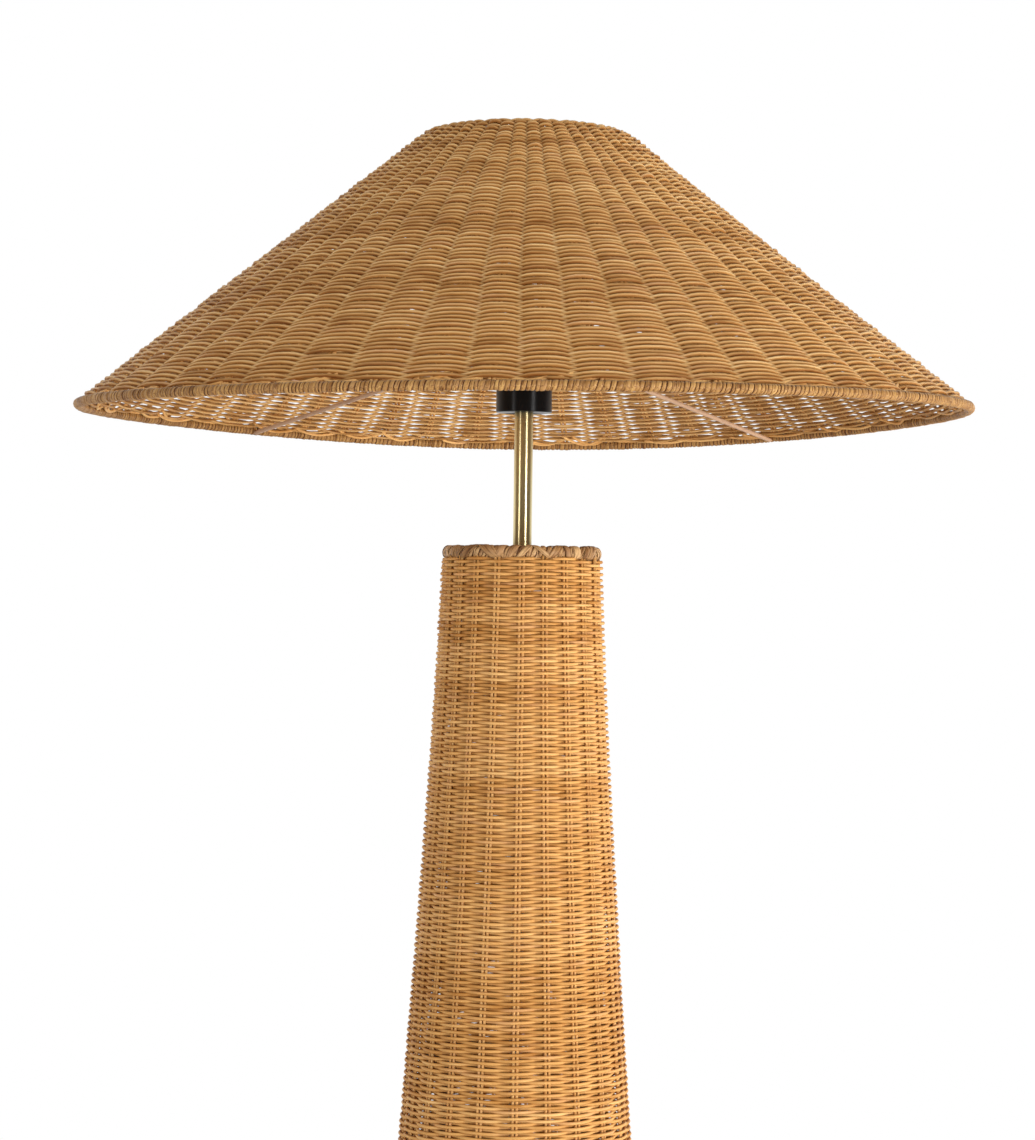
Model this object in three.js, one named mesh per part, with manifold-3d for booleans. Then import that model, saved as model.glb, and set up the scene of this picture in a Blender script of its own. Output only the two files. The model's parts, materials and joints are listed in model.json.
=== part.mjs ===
// Rattan floor lamp: a wide woven cone shade on a tall woven column with a hidden steel frame.
// Millimetres, +Z up. The origin is the middle of the base on the floor and the lamp's axis is Z.
// The near side, seen in the photograph, faces -Y.

import * as THREE from "three";
import { mergeVertices } from "three/addons/utils/BufferGeometryUtils.js";
import Module from "manifold-3d";

const wasm = await Module();
wasm.setup();

// Driving sizes of the whole lamp
const columnHeight = 1170; // floor to the top of the column's weave
const columnTopWidth = 125; // over the stakes at the top of the weave
const columnBaseWidth = 300; // over the stakes on the floor
const columnFlarePowerShare = 1.2; // above 1 the column widens faster towards the floor
const stemLength = 108.3; // brass tube between its washer and the lampholder's cup
const shadeWidth = 688; // over the rim's binding
const shadeTopWidth = 159; // over the top border
const shadeHeight = 214.1; // plane of the rim ring to the middle of the top ring
const strutDrop = 51.6; // middle of the hub ring down to the plane of the rim ring

// The drying cane has sprung the rim out of its plane, in three waves that add up. Each has its height and
// its crest, in degrees from +X.
const rimTilt = 2.4; // once round
const rimTiltTurn = -6;
const rimSaddle = 4.1; // twice round
const rimSaddleTurn = -8;
const rimRipple = 1.2; // thrice round
const rimRippleTurn = 25;
const rimSpringPowerShare = 2; // the lift fades with this power from the rim ring to the top ring

// Clearances
const seatGap = 0.3; // between two pieces that rest on or beside each other
const weaveGap = 0.5; // between wound rattan and the frame that it is woven on
const turningGap = 0.5; // between the lampholder's neck and what turns round it
const cutOverrun = 5; // how far a cutting body runs past the wall that it cuts

// Rattan: two thin stakes stand side by side and the strand passes in front of one pair, behind the next
const strandThickness = 2.4;
const columnStakes = 21;
const columnStakeThickness = 2.2;
const shadeStakes = 53;
const shadeStakeThickness = 2.6;

// Borders and bindings of wound cane
const columnTopBorderHeight = 10.5;
const columnFootBorderHeight = 9;
const footBorderLift = 1; // border above the floor
const rimBindingThickness = 7.6;
const rimBindingSlot = 3; // mouth of the binding towards the wall
const shadeTopBorderThickness = 5;
const shadeTopBorderSlot = 1.6;

// Steel frame of the column
const frameRodThickness = 6;
const frameRodCount = 4;
const frameRodTurn = 45; // degrees from +X to the first rod
const middleRingHeights = [400, 790];

// Base
const feltThickness = 3;
const feltBoreWidth = 40;
const plateThickness = 12;
const plateEdge = 1.5; // chamfer
const plateRecessWidth = 36;
const plateRecessDepth = 8;

// Centre pipe, nuts and washers
const pipeWidth = 10;
const pipeBore = 7.4;
const pipeTail = 1; // pipe below the lowest nut
const nutFlats = 17;
const nutThickness = 5;
const washerWidth = 24;
const washerThickness = 2;

// Wooden disc that closes the column
const discThickness = 8;
const discRise = 4; // disc's top above the weave
const discEdge = 1.5; // rounding of its upper edge

// Brass stem
const stemWidth = 14.4;
const stemWall = 1;

// Lampholder
const cupWidth = 43.2;
const cupHeight = 46;
const cupWall = 1.2;
const cupCorner = 2.5;
const bodyLength = 30; // insulator below its flange
const flangeWidth = 48;
const flangeThickness = 2.5;
const neckWidth = 39;
const neckHeight = 27;
const socketWidth = 29;
const socketDepth = 28;
const screwShellWall = 0.6;
const screwShellLength = 22;
const contactWidth = 8;
const contactThickness = 1.5;
const ringNutWidth = 52;
const ringNutHeight = 9;
const ringNutRibs = 24;
const ringNutRibHeight = 1;

// Bulb
const capWidth = 26;
const capLength = 25;
const capWall = 0.5;
const capFloor = 6; // solder contact and glass insulator at the cap's end
const capTipWidth = 9;
const capConeShare = 2 / 3; // part of the cap's end that tapers
const bulbWidth = 60;
const bulbLength = 105; // with its cap
const bulbGlassWall = 0.8;
const bulbShoulder = 40; // degrees below the globe's middle where the neck's curve begins

// Shade frame
const rimWireThickness = 4.5;
const topWireThickness = 2.2;
const hubWidth = 58;
const hubThickness = 2.4;
const strutThickness = 3.8;
const strutEndDrop = 3.2; // middle of a strut's end below the middle of the rim wire
const strutCount = 4; // one in each quarter
const strutTurn = 48.8; // degrees from each strut to the X axis

// Cable outlet in the back of the column
const outletHeight = 40;
const outletBore = 7.5;
const outletSleeveWidth = 12;
const outletFlangeWidth = 17;
const outletFlangeThickness = 2;
const outletReach = 6; // sleeve beyond the weave's inner face

// Fineness of the facets. Nested rings share a count that is a multiple of four, which keeps them in step.
const weaveFacets = 4; // per stake pair
const columnWeaveLevels = 6;
const rimFacets = 72;
const borderFacets = 44;
const topRingFacets = 32;
const frameRingFacets = 24; // a corner at every rod
const roundFacets = 20;
const boreFacets = 16;
const globeFacets = 16;
const globeSteps = 5;
const flareSteps = 3;
const cornerSteps = 3;
const ringNutRibFacets = 4; // half of them on the rib
const shadeWeaveLevels = 3;
const borderSides = 8; // a multiple of four keeps the section's flats level and upright
const bindingSides = 6;
const wireSides = 5;
const strutSides = 8;
const rodSides = 6;
const rodSteps = 6;

// Worked-out places
const turn = 2 * Math.PI;
const radians = (degrees) => (degrees * turn) / 360;
const columnLift = (columnStakeThickness + strandThickness) / 2;
const shadeLift = (shadeStakeThickness + strandThickness) / 2;
const columnWallThickness = 2 * columnLift + strandThickness;
const discTop = columnHeight + discRise;
const discBottom = discTop - discThickness;
const stemFoot = discTop + washerThickness;
const cupBottom = stemFoot + stemLength;
const cupTop = cupBottom + cupHeight;
const flangeTop = cupTop + flangeThickness;
const neckTop = flangeTop + neckHeight;
const socketFloor = neckTop - socketDepth;
const hubMiddle = flangeTop + seatGap + hubThickness / 2;
const rimMiddle = hubMiddle - strutDrop;
const rimRadius = (shadeWidth - rimBindingThickness) / 2;
const topRadius = (shadeTopWidth - shadeTopBorderThickness) / 2;
const topMiddle = rimMiddle + shadeHeight;
const plateBottom = feltThickness;
const plateTop = plateBottom + plateThickness;

/** Outer radius of the column's weave, over its stakes, at a height above the floor. */
function columnRadius(height) {
  const share = Math.max(columnHeight - height, 0) / columnHeight;
  return (columnTopWidth + (columnBaseWidth - columnTopWidth) * share ** columnFlarePowerShare) / 2;
}

/** Radius of the middle of a frame rod, which stands just inside the weave. */
function rodRadius(height) {
  return columnRadius(height) - columnWallThickness - weaveGap - frameRodThickness / 2;
}

/** Radius of a frame ring's wire, which is welded to the inner side of the rods. */
function frameRingRadius(height) {
  return rodRadius(height) - frameRodThickness - seatGap;
}

/** A piece's own finish. */
function finish(color, roughness, metalness = 0) {
  return new THREE.MeshStandardMaterial({ color, roughness, metalness });
}

const rattan = () => finish(0xc4935a, 0.6);
const paleRattan = () => finish(0xd0a468, 0.6);
const darkSteel = () => finish(0x4a4a4c, 0.5, 0.8);
const zincSteel = () => finish(0xa9abae, 0.4, 0.9);
const tanWire = () => finish(0xb08a66, 0.5, 0.2);
const satinBrass = () => finish(0xb4986a, 0.3, 1);
const blackPlastic = () => finish(0x1c1a1a, 0.35);

/** A named piece of the lamp. */
function piece(name, geometry, material) {
  const mesh = new THREE.Mesh(geometry, material);
  mesh.name = name;
  return mesh;
}

/** The outline with its first point repeated at its end. */
function closed(points) {
  return [...points, points[0]];
}

/** A body turned about Z from [radius, height] points that run anticlockwise. */
function turned(points, facets = roundFacets) {
  const outline = points.map(([radius, height]) => new THREE.Vector2(radius, height));
  return new THREE.LatheGeometry(outline, facets).rotateX(turn / 4);
}

/** A flat ring or a short tube with a rectangular section. */
function collar(innerWidth, outerWidth, bottom, top, facets = roundFacets) {
  const inner = innerWidth / 2;
  const outer = outerWidth / 2;
  return turned(closed([[inner, bottom], [outer, bottom], [outer, top], [inner, top]]), facets);
}

/** A wire bent to a level ring. */
function wireRing(radius, height, thickness, facets) {
  return new THREE.TorusGeometry(radius, thickness / 2, wireSides, facets).translate(0, 0, height);
}

/** A ring of wound cane whose rounded section fills the given width and height. */
function woundRing(radius, middle, width, height, facets) {
  const halfStep = turn / 2 / borderSides;
  const halfWidth = width / 2 / Math.cos(halfStep);
  const halfHeight = height / 2 / Math.cos(halfStep);
  const outline = [];
  for (let i = 0; i < borderSides; i++) {
    const angle = halfStep * (2 * i + 1);
    outline.push([radius + halfWidth * Math.cos(angle), middle + halfHeight * Math.sin(angle)]);
  }
  return turned(closed(outline), facets);
}

/**
 * Cane wound round a ring wire. The section is a C whose mouth faces along mouthAngle, where the
 * woven wall comes in.
 */
function bindingRing({ radius, middle, thickness, wire, slot, mouthAngle, facets }) {
  const widest = turn / 2 / bindingSides;
  const inner = (wire / 2 + seatGap) / Math.cos(widest);
  const halfMouth = Math.asin(slot / 2 / inner);
  const outline = [];
  for (const size of [thickness / 2, inner]) {
    const arc = [];
    for (let i = 0; i <= bindingSides; i++) {
      const angle = mouthAngle + halfMouth + ((turn - 2 * halfMouth) * i) / bindingSides;
      arc.push([radius + size * Math.cos(angle), middle + size * Math.sin(angle)]);
    }
    outline.push(...(size === inner ? arc.reverse() : arc));
  }
  return turned(closed(outline), facets);
}

/** A body whose closed section changes on its way round Z. sectionAt gives [radius, height] points. */
function roundAxis(sectionAt, columns) {
  const positions = [];
  const faces = [];
  const count = sectionAt(0).length;
  for (let i = 0; i < columns; i++) {
    const angle = (turn * i) / columns;
    for (const [radius, height] of sectionAt(angle)) {
      positions.push(radius * Math.cos(angle), radius * Math.sin(angle), height);
    }
    for (let k = 0; k < count; k++) {
      const here = i * count;
      const there = ((i + 1) % columns) * count;
      const next = (k + 1) % count;
      faces.push(here + k, there + k, there + next, here + k, there + next, here + next);
    }
  }
  const geometry = new THREE.BufferGeometry();
  geometry.setAttribute("position", new THREE.Float32BufferAttribute(positions, 3));
  geometry.setIndex(faces);
  geometry.computeVertexNormals();
  return geometry;
}

/**
 * Woven wall. Its two faces stand apart by the stakes and both strands at every stake, and close up to
 * one strand halfway between two. Each place is {radius, height, out}, where out points out of the wall.
 * A gap between stakes, not a stake, lies on +X turned by firstGap radians.
 */
function wovenWall({ places, stakes, lift, facets, firstGap }) {
  const sectionAt = (angle) => {
    const flute = Math.abs(Math.sin((stakes * (angle - firstGap)) / 2));
    const half = lift * flute + strandThickness / 2;
    const face = (side) => ({ radius, height, out }) => [
      radius + side * half * out[0],
      height + side * half * out[1],
    ];
    return [...places.map(face(1)), ...places.map(face(-1)).reverse()];
  };
  return roundAxis(sectionAt, stakes * facets);
}

/** A closed mesh as a solid that can be cut. */
function toSolid(geometry) {
  const bare = geometry.clone();
  bare.deleteAttribute("normal");
  bare.deleteAttribute("uv");
  const merged = mergeVertices(bare);
  const corners = merged.index.array;
  const kept = [];
  for (let i = 0; i < corners.length; i += 3) {
    const [a, b, c] = [corners[i], corners[i + 1], corners[i + 2]];
    if (a !== b && b !== c && c !== a) kept.push(a, b, c);
  }
  const vertProperties = merged.attributes.position.array;
  return new wasm.Manifold(new wasm.Mesh({ numProp: 3, vertProperties, triVerts: new Uint32Array(kept) }));
}

/** The body less its cutters. */
function cut(geometry, cutters) {
  const left = cutters.reduce((body, cutter) => body.subtract(toSolid(cutter)), toSolid(geometry));
  const mesh = left.getMesh();
  const result = new THREE.BufferGeometry();
  result.setAttribute("position", new THREE.Float32BufferAttribute(mesh.vertProperties, 3));
  result.setIndex(new THREE.Uint32BufferAttribute(mesh.triVerts, 1));
  result.computeVertexNormals();
  return result;
}

/** A regular section round the origin, first corner on +X. */
function roundSection(width, sides) {
  const points = [];
  for (let i = 0; i < sides; i++) {
    const angle = (turn * i) / sides;
    points.push(new THREE.Vector2((Math.cos(angle) * width) / 2, (Math.sin(angle) * width) / 2));
  }
  return new THREE.Shape(points);
}

/** A rod of round section along a curve. */
function rod(curve, width, steps, sides) {
  const section = roundSection(width, sides);
  return new THREE.ExtrudeGeometry(section, { steps, bevelEnabled: false, extrudePath: curve });
}

/** A hexagon nut that stands on a height. */
function hexNut(bottom, flats = nutFlats, thickness = nutThickness) {
  const sides = 6;
  const outline = roundSection(flats / Math.cos(turn / 2 / sides), sides);
  outline.holes.push(roundSection(pipeWidth + 2 * seatGap, boreFacets));
  const geometry = new THREE.ExtrudeGeometry(outline, { depth: thickness, bevelEnabled: false });
  return geometry.translate(0, 0, bottom);
}

/** Felt ring that the lamp stands on. */
function feltPad() {
  const width = 2 * (frameRingRadius(feltThickness + frameRodThickness / 2) + frameRodThickness / 2);
  return collar(feltBoreWidth, width, 0, feltThickness, frameRingFacets);
}

/** Steel weight with a recess for the lowest nut, inside the frame's foot ring. */
function ballastPlate() {
  const ring = frameRingRadius(plateBottom + frameRodThickness / 2);
  const outer = ring - frameRodThickness / 2 - weaveGap;
  const bore = pipeWidth / 2 + seatGap;
  const recess = plateRecessWidth / 2;
  const recessTop = plateBottom + plateRecessDepth;
  return turned(closed([
    [recess, plateBottom],
    [outer - plateEdge, plateBottom],
    [outer, plateBottom + plateEdge],
    [outer, plateTop - plateEdge],
    [outer - plateEdge, plateTop],
    [bore, plateTop],
    [bore, recessTop],
    [recess, recessTop],
  ]), frameRingFacets);
}

/** Threaded pipe that pulls plate, disc, stem and cup together and carries the wires. */
function centrePipe() {
  const bottom = plateBottom + plateRecessDepth - washerThickness - nutThickness - pipeTail;
  const top = cupBottom + cupWall + nutThickness + pipeTail;
  return collar(pipeBore, pipeWidth, bottom, top, boreFacets);
}

/** The frame's foot, middle and top rings, each inside the rods. */
function frameRings() {
  const heights = [
    plateBottom + frameRodThickness / 2,
    ...middleRingHeights,
    discBottom - seatGap - frameRodThickness / 2,
  ];
  const names = ["frame_foot_ring", "frame_lower_ring", "frame_upper_ring", "frame_top_ring"];
  return heights.map((height, i) => {
    const ring = wireRing(frameRingRadius(height), height, frameRodThickness, frameRingFacets);
    return piece(names[i], ring, darkSteel());
  });
}

/** Steel rods that follow the column's flare from the felt to the disc. */
function frameRods() {
  const bottom = plateBottom + seatGap;
  const top = discBottom - seatGap;
  const rods = [];
  for (let i = 0; i < frameRodCount; i++) {
    const angle = radians(frameRodTurn) + (turn * i) / frameRodCount;
    const points = [];
    for (let k = 0; k <= rodSteps; k++) {
      const height = bottom + ((top - bottom) * k) / rodSteps;
      const radius = rodRadius(height);
      points.push(new THREE.Vector3(radius * Math.cos(angle), radius * Math.sin(angle), height));
    }
    const curve = new THREE.CatmullRomCurve3(points);
    rods.push(piece(`frame_rod_${i + 1}`, rod(curve, frameRodThickness, rodSteps, rodSides), darkSteel()));
  }
  return rods;
}

const footBorderTop = footBorderLift + columnFootBorderHeight;
const columnWeaveBottom = footBorderTop + seatGap;

/** The column's weave: a fluted, flaring tube with the outlet's hole at the back. */
function columnWeave() {
  const places = [];
  for (let k = 0; k < columnWeaveLevels; k++) {
    const share = k / (columnWeaveLevels - 1);
    const height = columnWeaveBottom + (columnHeight - columnWeaveBottom) * share;
    places.push({ radius: columnRadius(height) - columnWallThickness / 2, height, out: [1, 0] });
  }
  const wall = wovenWall({
    places,
    stakes: columnStakes,
    lift: columnLift,
    facets: weaveFacets,
    firstGap: turn / 4,
  });
  const hole = new THREE.CylinderGeometry(
    outletSleeveWidth / 2 + seatGap,
    outletSleeveWidth / 2 + seatGap,
    columnWallThickness + 2 * cutOverrun,
    boreFacets,
  );
  hole.translate(0, outletWallMiddle(), outletHeight);
  return cut(wall, [hole]);
}

/** Distance of the weave's middle from the axis at the cable outlet. */
function outletWallMiddle() {
  return columnRadius(outletHeight) - columnWallThickness / 2;
}

/** Plastic sleeve with an outer flange, through which the supply cable would leave the column. */
function cableOutlet() {
  const widest = columnRadius(outletHeight - outletFlangeWidth / 2);
  const seat = widest - columnWallThickness / 2 + strandThickness / 2 + columnLift / 2 + seatGap;
  const inside = outletWallMiddle() - columnWallThickness / 2 - outletReach;
  const bore = outletBore / 2;
  const sleeve = outletSleeveWidth / 2;
  const flange = outletFlangeWidth / 2;
  const geometry = turned(closed([
    [bore, inside],
    [sleeve, inside],
    [sleeve, seat],
    [flange, seat],
    [flange, seat + outletFlangeThickness / 2],
    [flange - outletFlangeThickness / 2, seat + outletFlangeThickness],
    [bore, seat + outletFlangeThickness],
  ]), boreFacets);
  const mesh = piece("cable_outlet", geometry, blackPlastic());
  mesh.rotation.x = -turn / 4;
  mesh.position.z = outletHeight;
  return mesh;
}

/** Wound borders at the column's foot and top. */
function columnBorders() {
  const footMiddle = footBorderLift + columnFootBorderHeight / 2;
  const headMiddle = columnHeight + seatGap + columnTopBorderHeight / 2;
  const width = columnWallThickness;
  const footRadius = columnRadius(footMiddle) - width / 2;
  const headRadius = columnRadius(columnHeight) - width / 2;
  const foot = woundRing(footRadius, footMiddle, width, columnFootBorderHeight, borderFacets);
  const head = woundRing(headRadius, headMiddle, width, columnTopBorderHeight, topRingFacets);
  return [piece("column_foot_border", foot, rattan()), piece("column_top_border", head, rattan())];
}

/** Wooden disc that closes the column and carries the stem. */
function columnDisc() {
  const outer = columnRadius(columnHeight) - columnWallThickness - weaveGap;
  const bore = pipeWidth / 2 + seatGap;
  return turned(closed([
    [bore, discBottom],
    [outer, discBottom],
    [outer, discTop - discEdge],
    [outer - discEdge, discTop],
    [bore, discTop],
  ]), topRingFacets);
}

/** Nuts and washers on the centre pipe. */
function pipeFasteners() {
  const washerBore = pipeWidth + 2 * seatGap;
  const recessTop = plateBottom + plateRecessDepth;
  const washerAt = (bottom) => collar(washerBore, washerWidth, bottom, bottom + washerThickness);
  return [
    piece("base_washer", washerAt(recessTop - washerThickness), zincSteel()),
    piece("base_nut", hexNut(recessTop - washerThickness - nutThickness), zincSteel()),
    piece("disc_washer", washerAt(discBottom - washerThickness), zincSteel()),
    piece("disc_nut", hexNut(discBottom - washerThickness - nutThickness), zincSteel()),
    piece("stem_washer", washerAt(discTop), satinBrass()),
    piece("cup_nut", hexNut(cupBottom + cupWall), zincSteel()),
  ];
}

/** Brass tube over the pipe. */
function stemTube() {
  return collar(stemWidth - 2 * stemWall, stemWidth, stemFoot, cupBottom);
}

/** Black cup that hides the lower half of the lampholder. */
function lampholderCup() {
  const outer = cupWidth / 2;
  const inner = outer - cupWall;
  const bore = pipeWidth / 2 + seatGap;
  const corner = (radius, centre, from, to) => {
    const points = [];
    for (let i = 0; i <= cornerSteps; i++) {
      const angle = from + ((to - from) * i) / cornerSteps;
      points.push([centre[0] + radius * Math.cos(angle), centre[1] + radius * Math.sin(angle)]);
    }
    return points;
  };
  const centre = [outer - cupCorner, cupBottom + cupCorner];
  return turned(closed([
    [bore, cupBottom],
    ...corner(cupCorner, centre, -turn / 4, 0),
    [outer, cupTop],
    [inner, cupTop],
    ...corner(cupCorner - cupWall, centre, 0, -turn / 4),
    [bore, cupBottom + cupWall],
  ]));
}

/** Insulator: its body hangs in the cup by the flange, and the shade's ring nut screws on its neck. */
function lampholderBody() {
  const body = cupWidth / 2 - cupWall - turningGap;
  const flange = flangeWidth / 2;
  const neck = neckWidth / 2;
  const socket = socketWidth / 2;
  const bodyBottom = cupTop - bodyLength;
  return turned([
    [0, bodyBottom],
    [body, bodyBottom],
    [body, cupTop],
    [flange, cupTop],
    [flange, flangeTop],
    [neck, flangeTop],
    [neck, neckTop],
    [socket, neckTop],
    [socket, socketFloor],
    [0, socketFloor],
  ]);
}

/** Metal screw shell and centre contact in the socket. */
function socketContacts() {
  const shellWidth = socketWidth - 2 * seatGap;
  const shellTop = socketFloor + screwShellLength;
  const shell = collar(shellWidth - 2 * screwShellWall, shellWidth, socketFloor, shellTop);
  const contact = contactWidth / 2;
  const contactTop = socketFloor + contactThickness;
  const tip = turned([[0, socketFloor], [contact, socketFloor], [contact, contactTop], [0, contactTop]]);
  return [piece("screw_shell", shell, zincSteel()), piece("centre_contact", tip, satinBrass())];
}

/** Ribbed ring nut that holds the shade's hub on the flange. */
function ringNut() {
  const points = [];
  const corners = ringNutRibs * ringNutRibFacets;
  for (let i = 0; i < corners; i++) {
    const angle = (turn * i) / corners;
    const raised = i % ringNutRibFacets < ringNutRibFacets / 2 ? ringNutRibHeight : 0;
    const radius = ringNutWidth / 2 - ringNutRibHeight + raised;
    points.push(new THREE.Vector2(radius * Math.cos(angle), radius * Math.sin(angle)));
  }
  const outline = new THREE.Shape(points);
  outline.holes.push(roundSection(neckWidth + 2 * turningGap, roundFacets));
  const geometry = new THREE.ExtrudeGeometry(outline, { depth: ringNutHeight, bevelEnabled: false });
  return geometry.translate(0, 0, hubMiddle + hubThickness / 2 + seatGap);
}

const capBottom = socketFloor + contactThickness + seatGap;
const capTop = capBottom + capLength;

/** The bulb's metal cap, a thin cup with the solder contact at its end. */
function bulbCap() {
  const outer = capWidth / 2;
  const inner = outer - capWall;
  const tip = capTipWidth / 2;
  return turned([
    [0, capBottom],
    [tip, capBottom],
    [outer, capBottom + capFloor * capConeShare],
    [outer, capTop],
    [inner, capTop],
    [inner, capBottom + capFloor],
    [0, capBottom + capFloor],
  ]);
}

/** The bulb's glass, a thin globe with an open neck that stands in the cap. */
function bulbGlass() {
  const neckFoot = capBottom + capFloor + seatGap;
  const neckRadius = capWidth / 2 - capWall - seatGap;
  const globe = bulbWidth / 2;
  const centre = capBottom + bulbLength - globe;
  const wallLine = (inset) => {
    const radius = globe - inset;
    const start = -radians(bulbShoulder);
    const neck = neckRadius - inset;
    const join = [radius * Math.cos(start), centre + radius * Math.sin(start)];
    const slopeOut = (join[1] - capTop) / 2;
    const flare = new THREE.CubicBezierCurve(
      new THREE.Vector2(neck, capTop),
      new THREE.Vector2(neck, capTop + slopeOut),
      new THREE.Vector2(join[0] + slopeOut * Math.sin(start), join[1] - slopeOut * Math.cos(start)),
      new THREE.Vector2(...join),
    );
    const points = [[neck, neckFoot], ...flare.getPoints(flareSteps).map((p) => [p.x, p.y])];
    for (let i = 1; i < globeSteps; i++) {
      const angle = start + ((turn / 4 - start) * i) / globeSteps;
      points.push([radius * Math.cos(angle), centre + radius * Math.sin(angle)]);
    }
    return [...points, [0, centre + radius]];
  };
  return turned([...wallLine(bulbGlassWall).reverse(), ...wallLine(0)], globeFacets);
}

/** Direction from the rim ring to the top ring along the shade's wall, as [radial, up]. */
function wallDirection() {
  const run = [topRadius - rimRadius, topMiddle - rimMiddle];
  const length = Math.hypot(...run);
  return run.map((part) => part / length);
}

/** How far the rim's spring lifts the shade at an angle and a distance from the axis. */
function springLift(angle, radius) {
  const wave = (height, crest, rounds) => height * Math.cos(rounds * (angle - radians(crest)));
  const rim =
    wave(rimTilt, rimTiltTurn, 1) + wave(rimSaddle, rimSaddleTurn, 2) + wave(rimRipple, rimRippleTurn, 3);
  const share = Math.max(radius - topRadius, 0) / (rimRadius - topRadius);
  return rim * share ** rimSpringPowerShare;
}

/** A ring or wall of the shade, lifted by the rim's spring. */
function sprung(geometry) {
  const corners = geometry.attributes.position;
  for (let i = 0; i < corners.count; i++) {
    const [x, y] = [corners.getX(i), corners.getY(i)];
    corners.setZ(i, corners.getZ(i) + springLift(Math.atan2(y, x), Math.hypot(x, y)));
  }
  geometry.computeVertexNormals();
  return geometry;
}

/** The shade's weave: a fluted cone, open at the rim and at the top. */
function shadeWeave() {
  const [inward, up] = wallDirection();
  const length = Math.hypot(topRadius - rimRadius, topMiddle - rimMiddle);
  const from = rimBindingThickness / 2 + weaveGap;
  const to = length - shadeTopBorderThickness / 2 - weaveGap;
  const places = [];
  for (let k = 0; k < shadeWeaveLevels; k++) {
    const along = from + ((to - from) * k) / (shadeWeaveLevels - 1);
    const radius = rimRadius + along * inward;
    places.push({ radius, height: rimMiddle + along * up, out: [up, -inward] });
  }
  const wall = wovenWall({
    places,
    stakes: shadeStakes,
    lift: shadeLift,
    facets: weaveFacets,
    firstGap: -turn / 4,
  });
  return sprung(wall);
}

/** Angle of a strut from +X. They stand in pairs, each pair closer together over +Y and -Y. */
function strutAngle(i) {
  const side = i % 2 === 0 ? 1 : -1;
  return (Math.ceil(i / 2) * turn) / 2 + side * radians(strutTurn);
}

/** How far a strut's end stops short of the rim wire's middle, beside and below the wire. */
function strutSetback() {
  const reach = rimWireThickness / 2 + seatGap;
  const below = Math.max(strutEndDrop - strutThickness / 2, 0);
  return Math.sqrt(Math.max(reach ** 2 - below ** 2, 0));
}

/** A strut from the hub ring's edge to the rim wire, or longer and thicker by the given sizes. */
function strutRod(i, width, overrun) {
  const angle = strutAngle(i);
  const hubEdge = [hubWidth / 2, hubMiddle];
  const rimEnd = [rimRadius - strutSetback(), rimMiddle - strutEndDrop + springLift(angle, rimRadius)];
  const run = [rimEnd[0] - hubEdge[0], rimEnd[1] - hubEdge[1]];
  const length = Math.hypot(...run);
  const along = run.map((part) => part / length);
  const at = (distance) => {
    const radius = hubEdge[0] + along[0] * distance;
    const height = hubEdge[1] + along[1] * distance;
    return new THREE.Vector3(radius * Math.cos(angle), radius * Math.sin(angle), height);
  };
  const lean = (Math.abs(along[1]) * strutThickness) / 2;
  return rod(new THREE.LineCurve3(at(seatGap + lean), at(length - lean + overrun)), width, 1, strutSides);
}

/** Four raked wires that carry the rim from the hub. */
function struts() {
  const wires = [];
  for (let i = 0; i < strutCount; i++) {
    wires.push(piece(`shade_strut_${i + 1}`, strutRod(i, strutThickness, 0), tanWire()));
  }
  return wires;
}

/** Cane wound round the rim wire, notched where the struts come in. */
function rimBinding() {
  const [inward, up] = wallDirection();
  const ring = bindingRing({
    radius: rimRadius,
    middle: rimMiddle,
    thickness: rimBindingThickness,
    wire: rimWireThickness,
    slot: rimBindingSlot,
    mouthAngle: Math.atan2(up, inward),
    facets: rimFacets,
  });
  const notches = [];
  for (let i = 0; i < strutCount; i++) {
    notches.push(strutRod(i, strutThickness + 2 * seatGap, seatGap));
  }
  return cut(sprung(ring), notches);
}

/** Steel wire inside the rim's binding. */
function rimRing() {
  return sprung(wireRing(rimRadius, rimMiddle, rimWireThickness, rimFacets));
}

/** Thin border round the top ring. */
function shadeTopBorder() {
  const [inward, up] = wallDirection();
  return bindingRing({
    radius: topRadius,
    middle: topMiddle,
    thickness: shadeTopBorderThickness,
    wire: topWireThickness,
    slot: shadeTopBorderSlot,
    mouthAngle: Math.atan2(-up, -inward),
    facets: topRingFacets,
  });
}

/** Everything that stands on the floor and does not turn. */
function stand() {
  const group = new THREE.Group();
  group.add(
    piece("felt_pad", feltPad(), finish(0x2c2a28, 0.95)),
    piece("ballast_plate", ballastPlate(), darkSteel()),
    piece("centre_pipe", centrePipe(), zincSteel()),
    ...frameRings(),
    ...frameRods(),
    piece("column_weave", columnWeave(), rattan()),
    ...columnBorders(),
    piece("column_disc", columnDisc(), finish(0xb98a55, 0.55)),
    cableOutlet(),
    ...pipeFasteners(),
    piece("stem_tube", stemTube(), satinBrass()),
    piece("lampholder_cup", lampholderCup(), blackPlastic()),
    piece("lampholder_body", lampholderBody(), blackPlastic()),
    ...socketContacts(),
  );
  return group;
}

/** The shade with its frame, which turns on the lampholder's neck. */
function shade() {
  const group = new THREE.Group();
  const hubBottom = hubMiddle - hubThickness / 2;
  const hub = collar(neckWidth + 2 * turningGap, hubWidth, hubBottom, hubBottom + hubThickness);
  group.add(
    piece("shade_hub_ring", hub, tanWire()),
    ...struts(),
    piece("shade_rim_ring", rimRing(), tanWire()),
    piece("shade_rim_binding", rimBinding(), paleRattan()),
    piece("shade_weave", shadeWeave(), rattan()),
    piece("shade_top_ring", wireRing(topRadius, topMiddle, topWireThickness, topRingFacets), tanWire()),
    piece("shade_top_border", shadeTopBorder(), paleRattan()),
  );
  return group;
}

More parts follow.
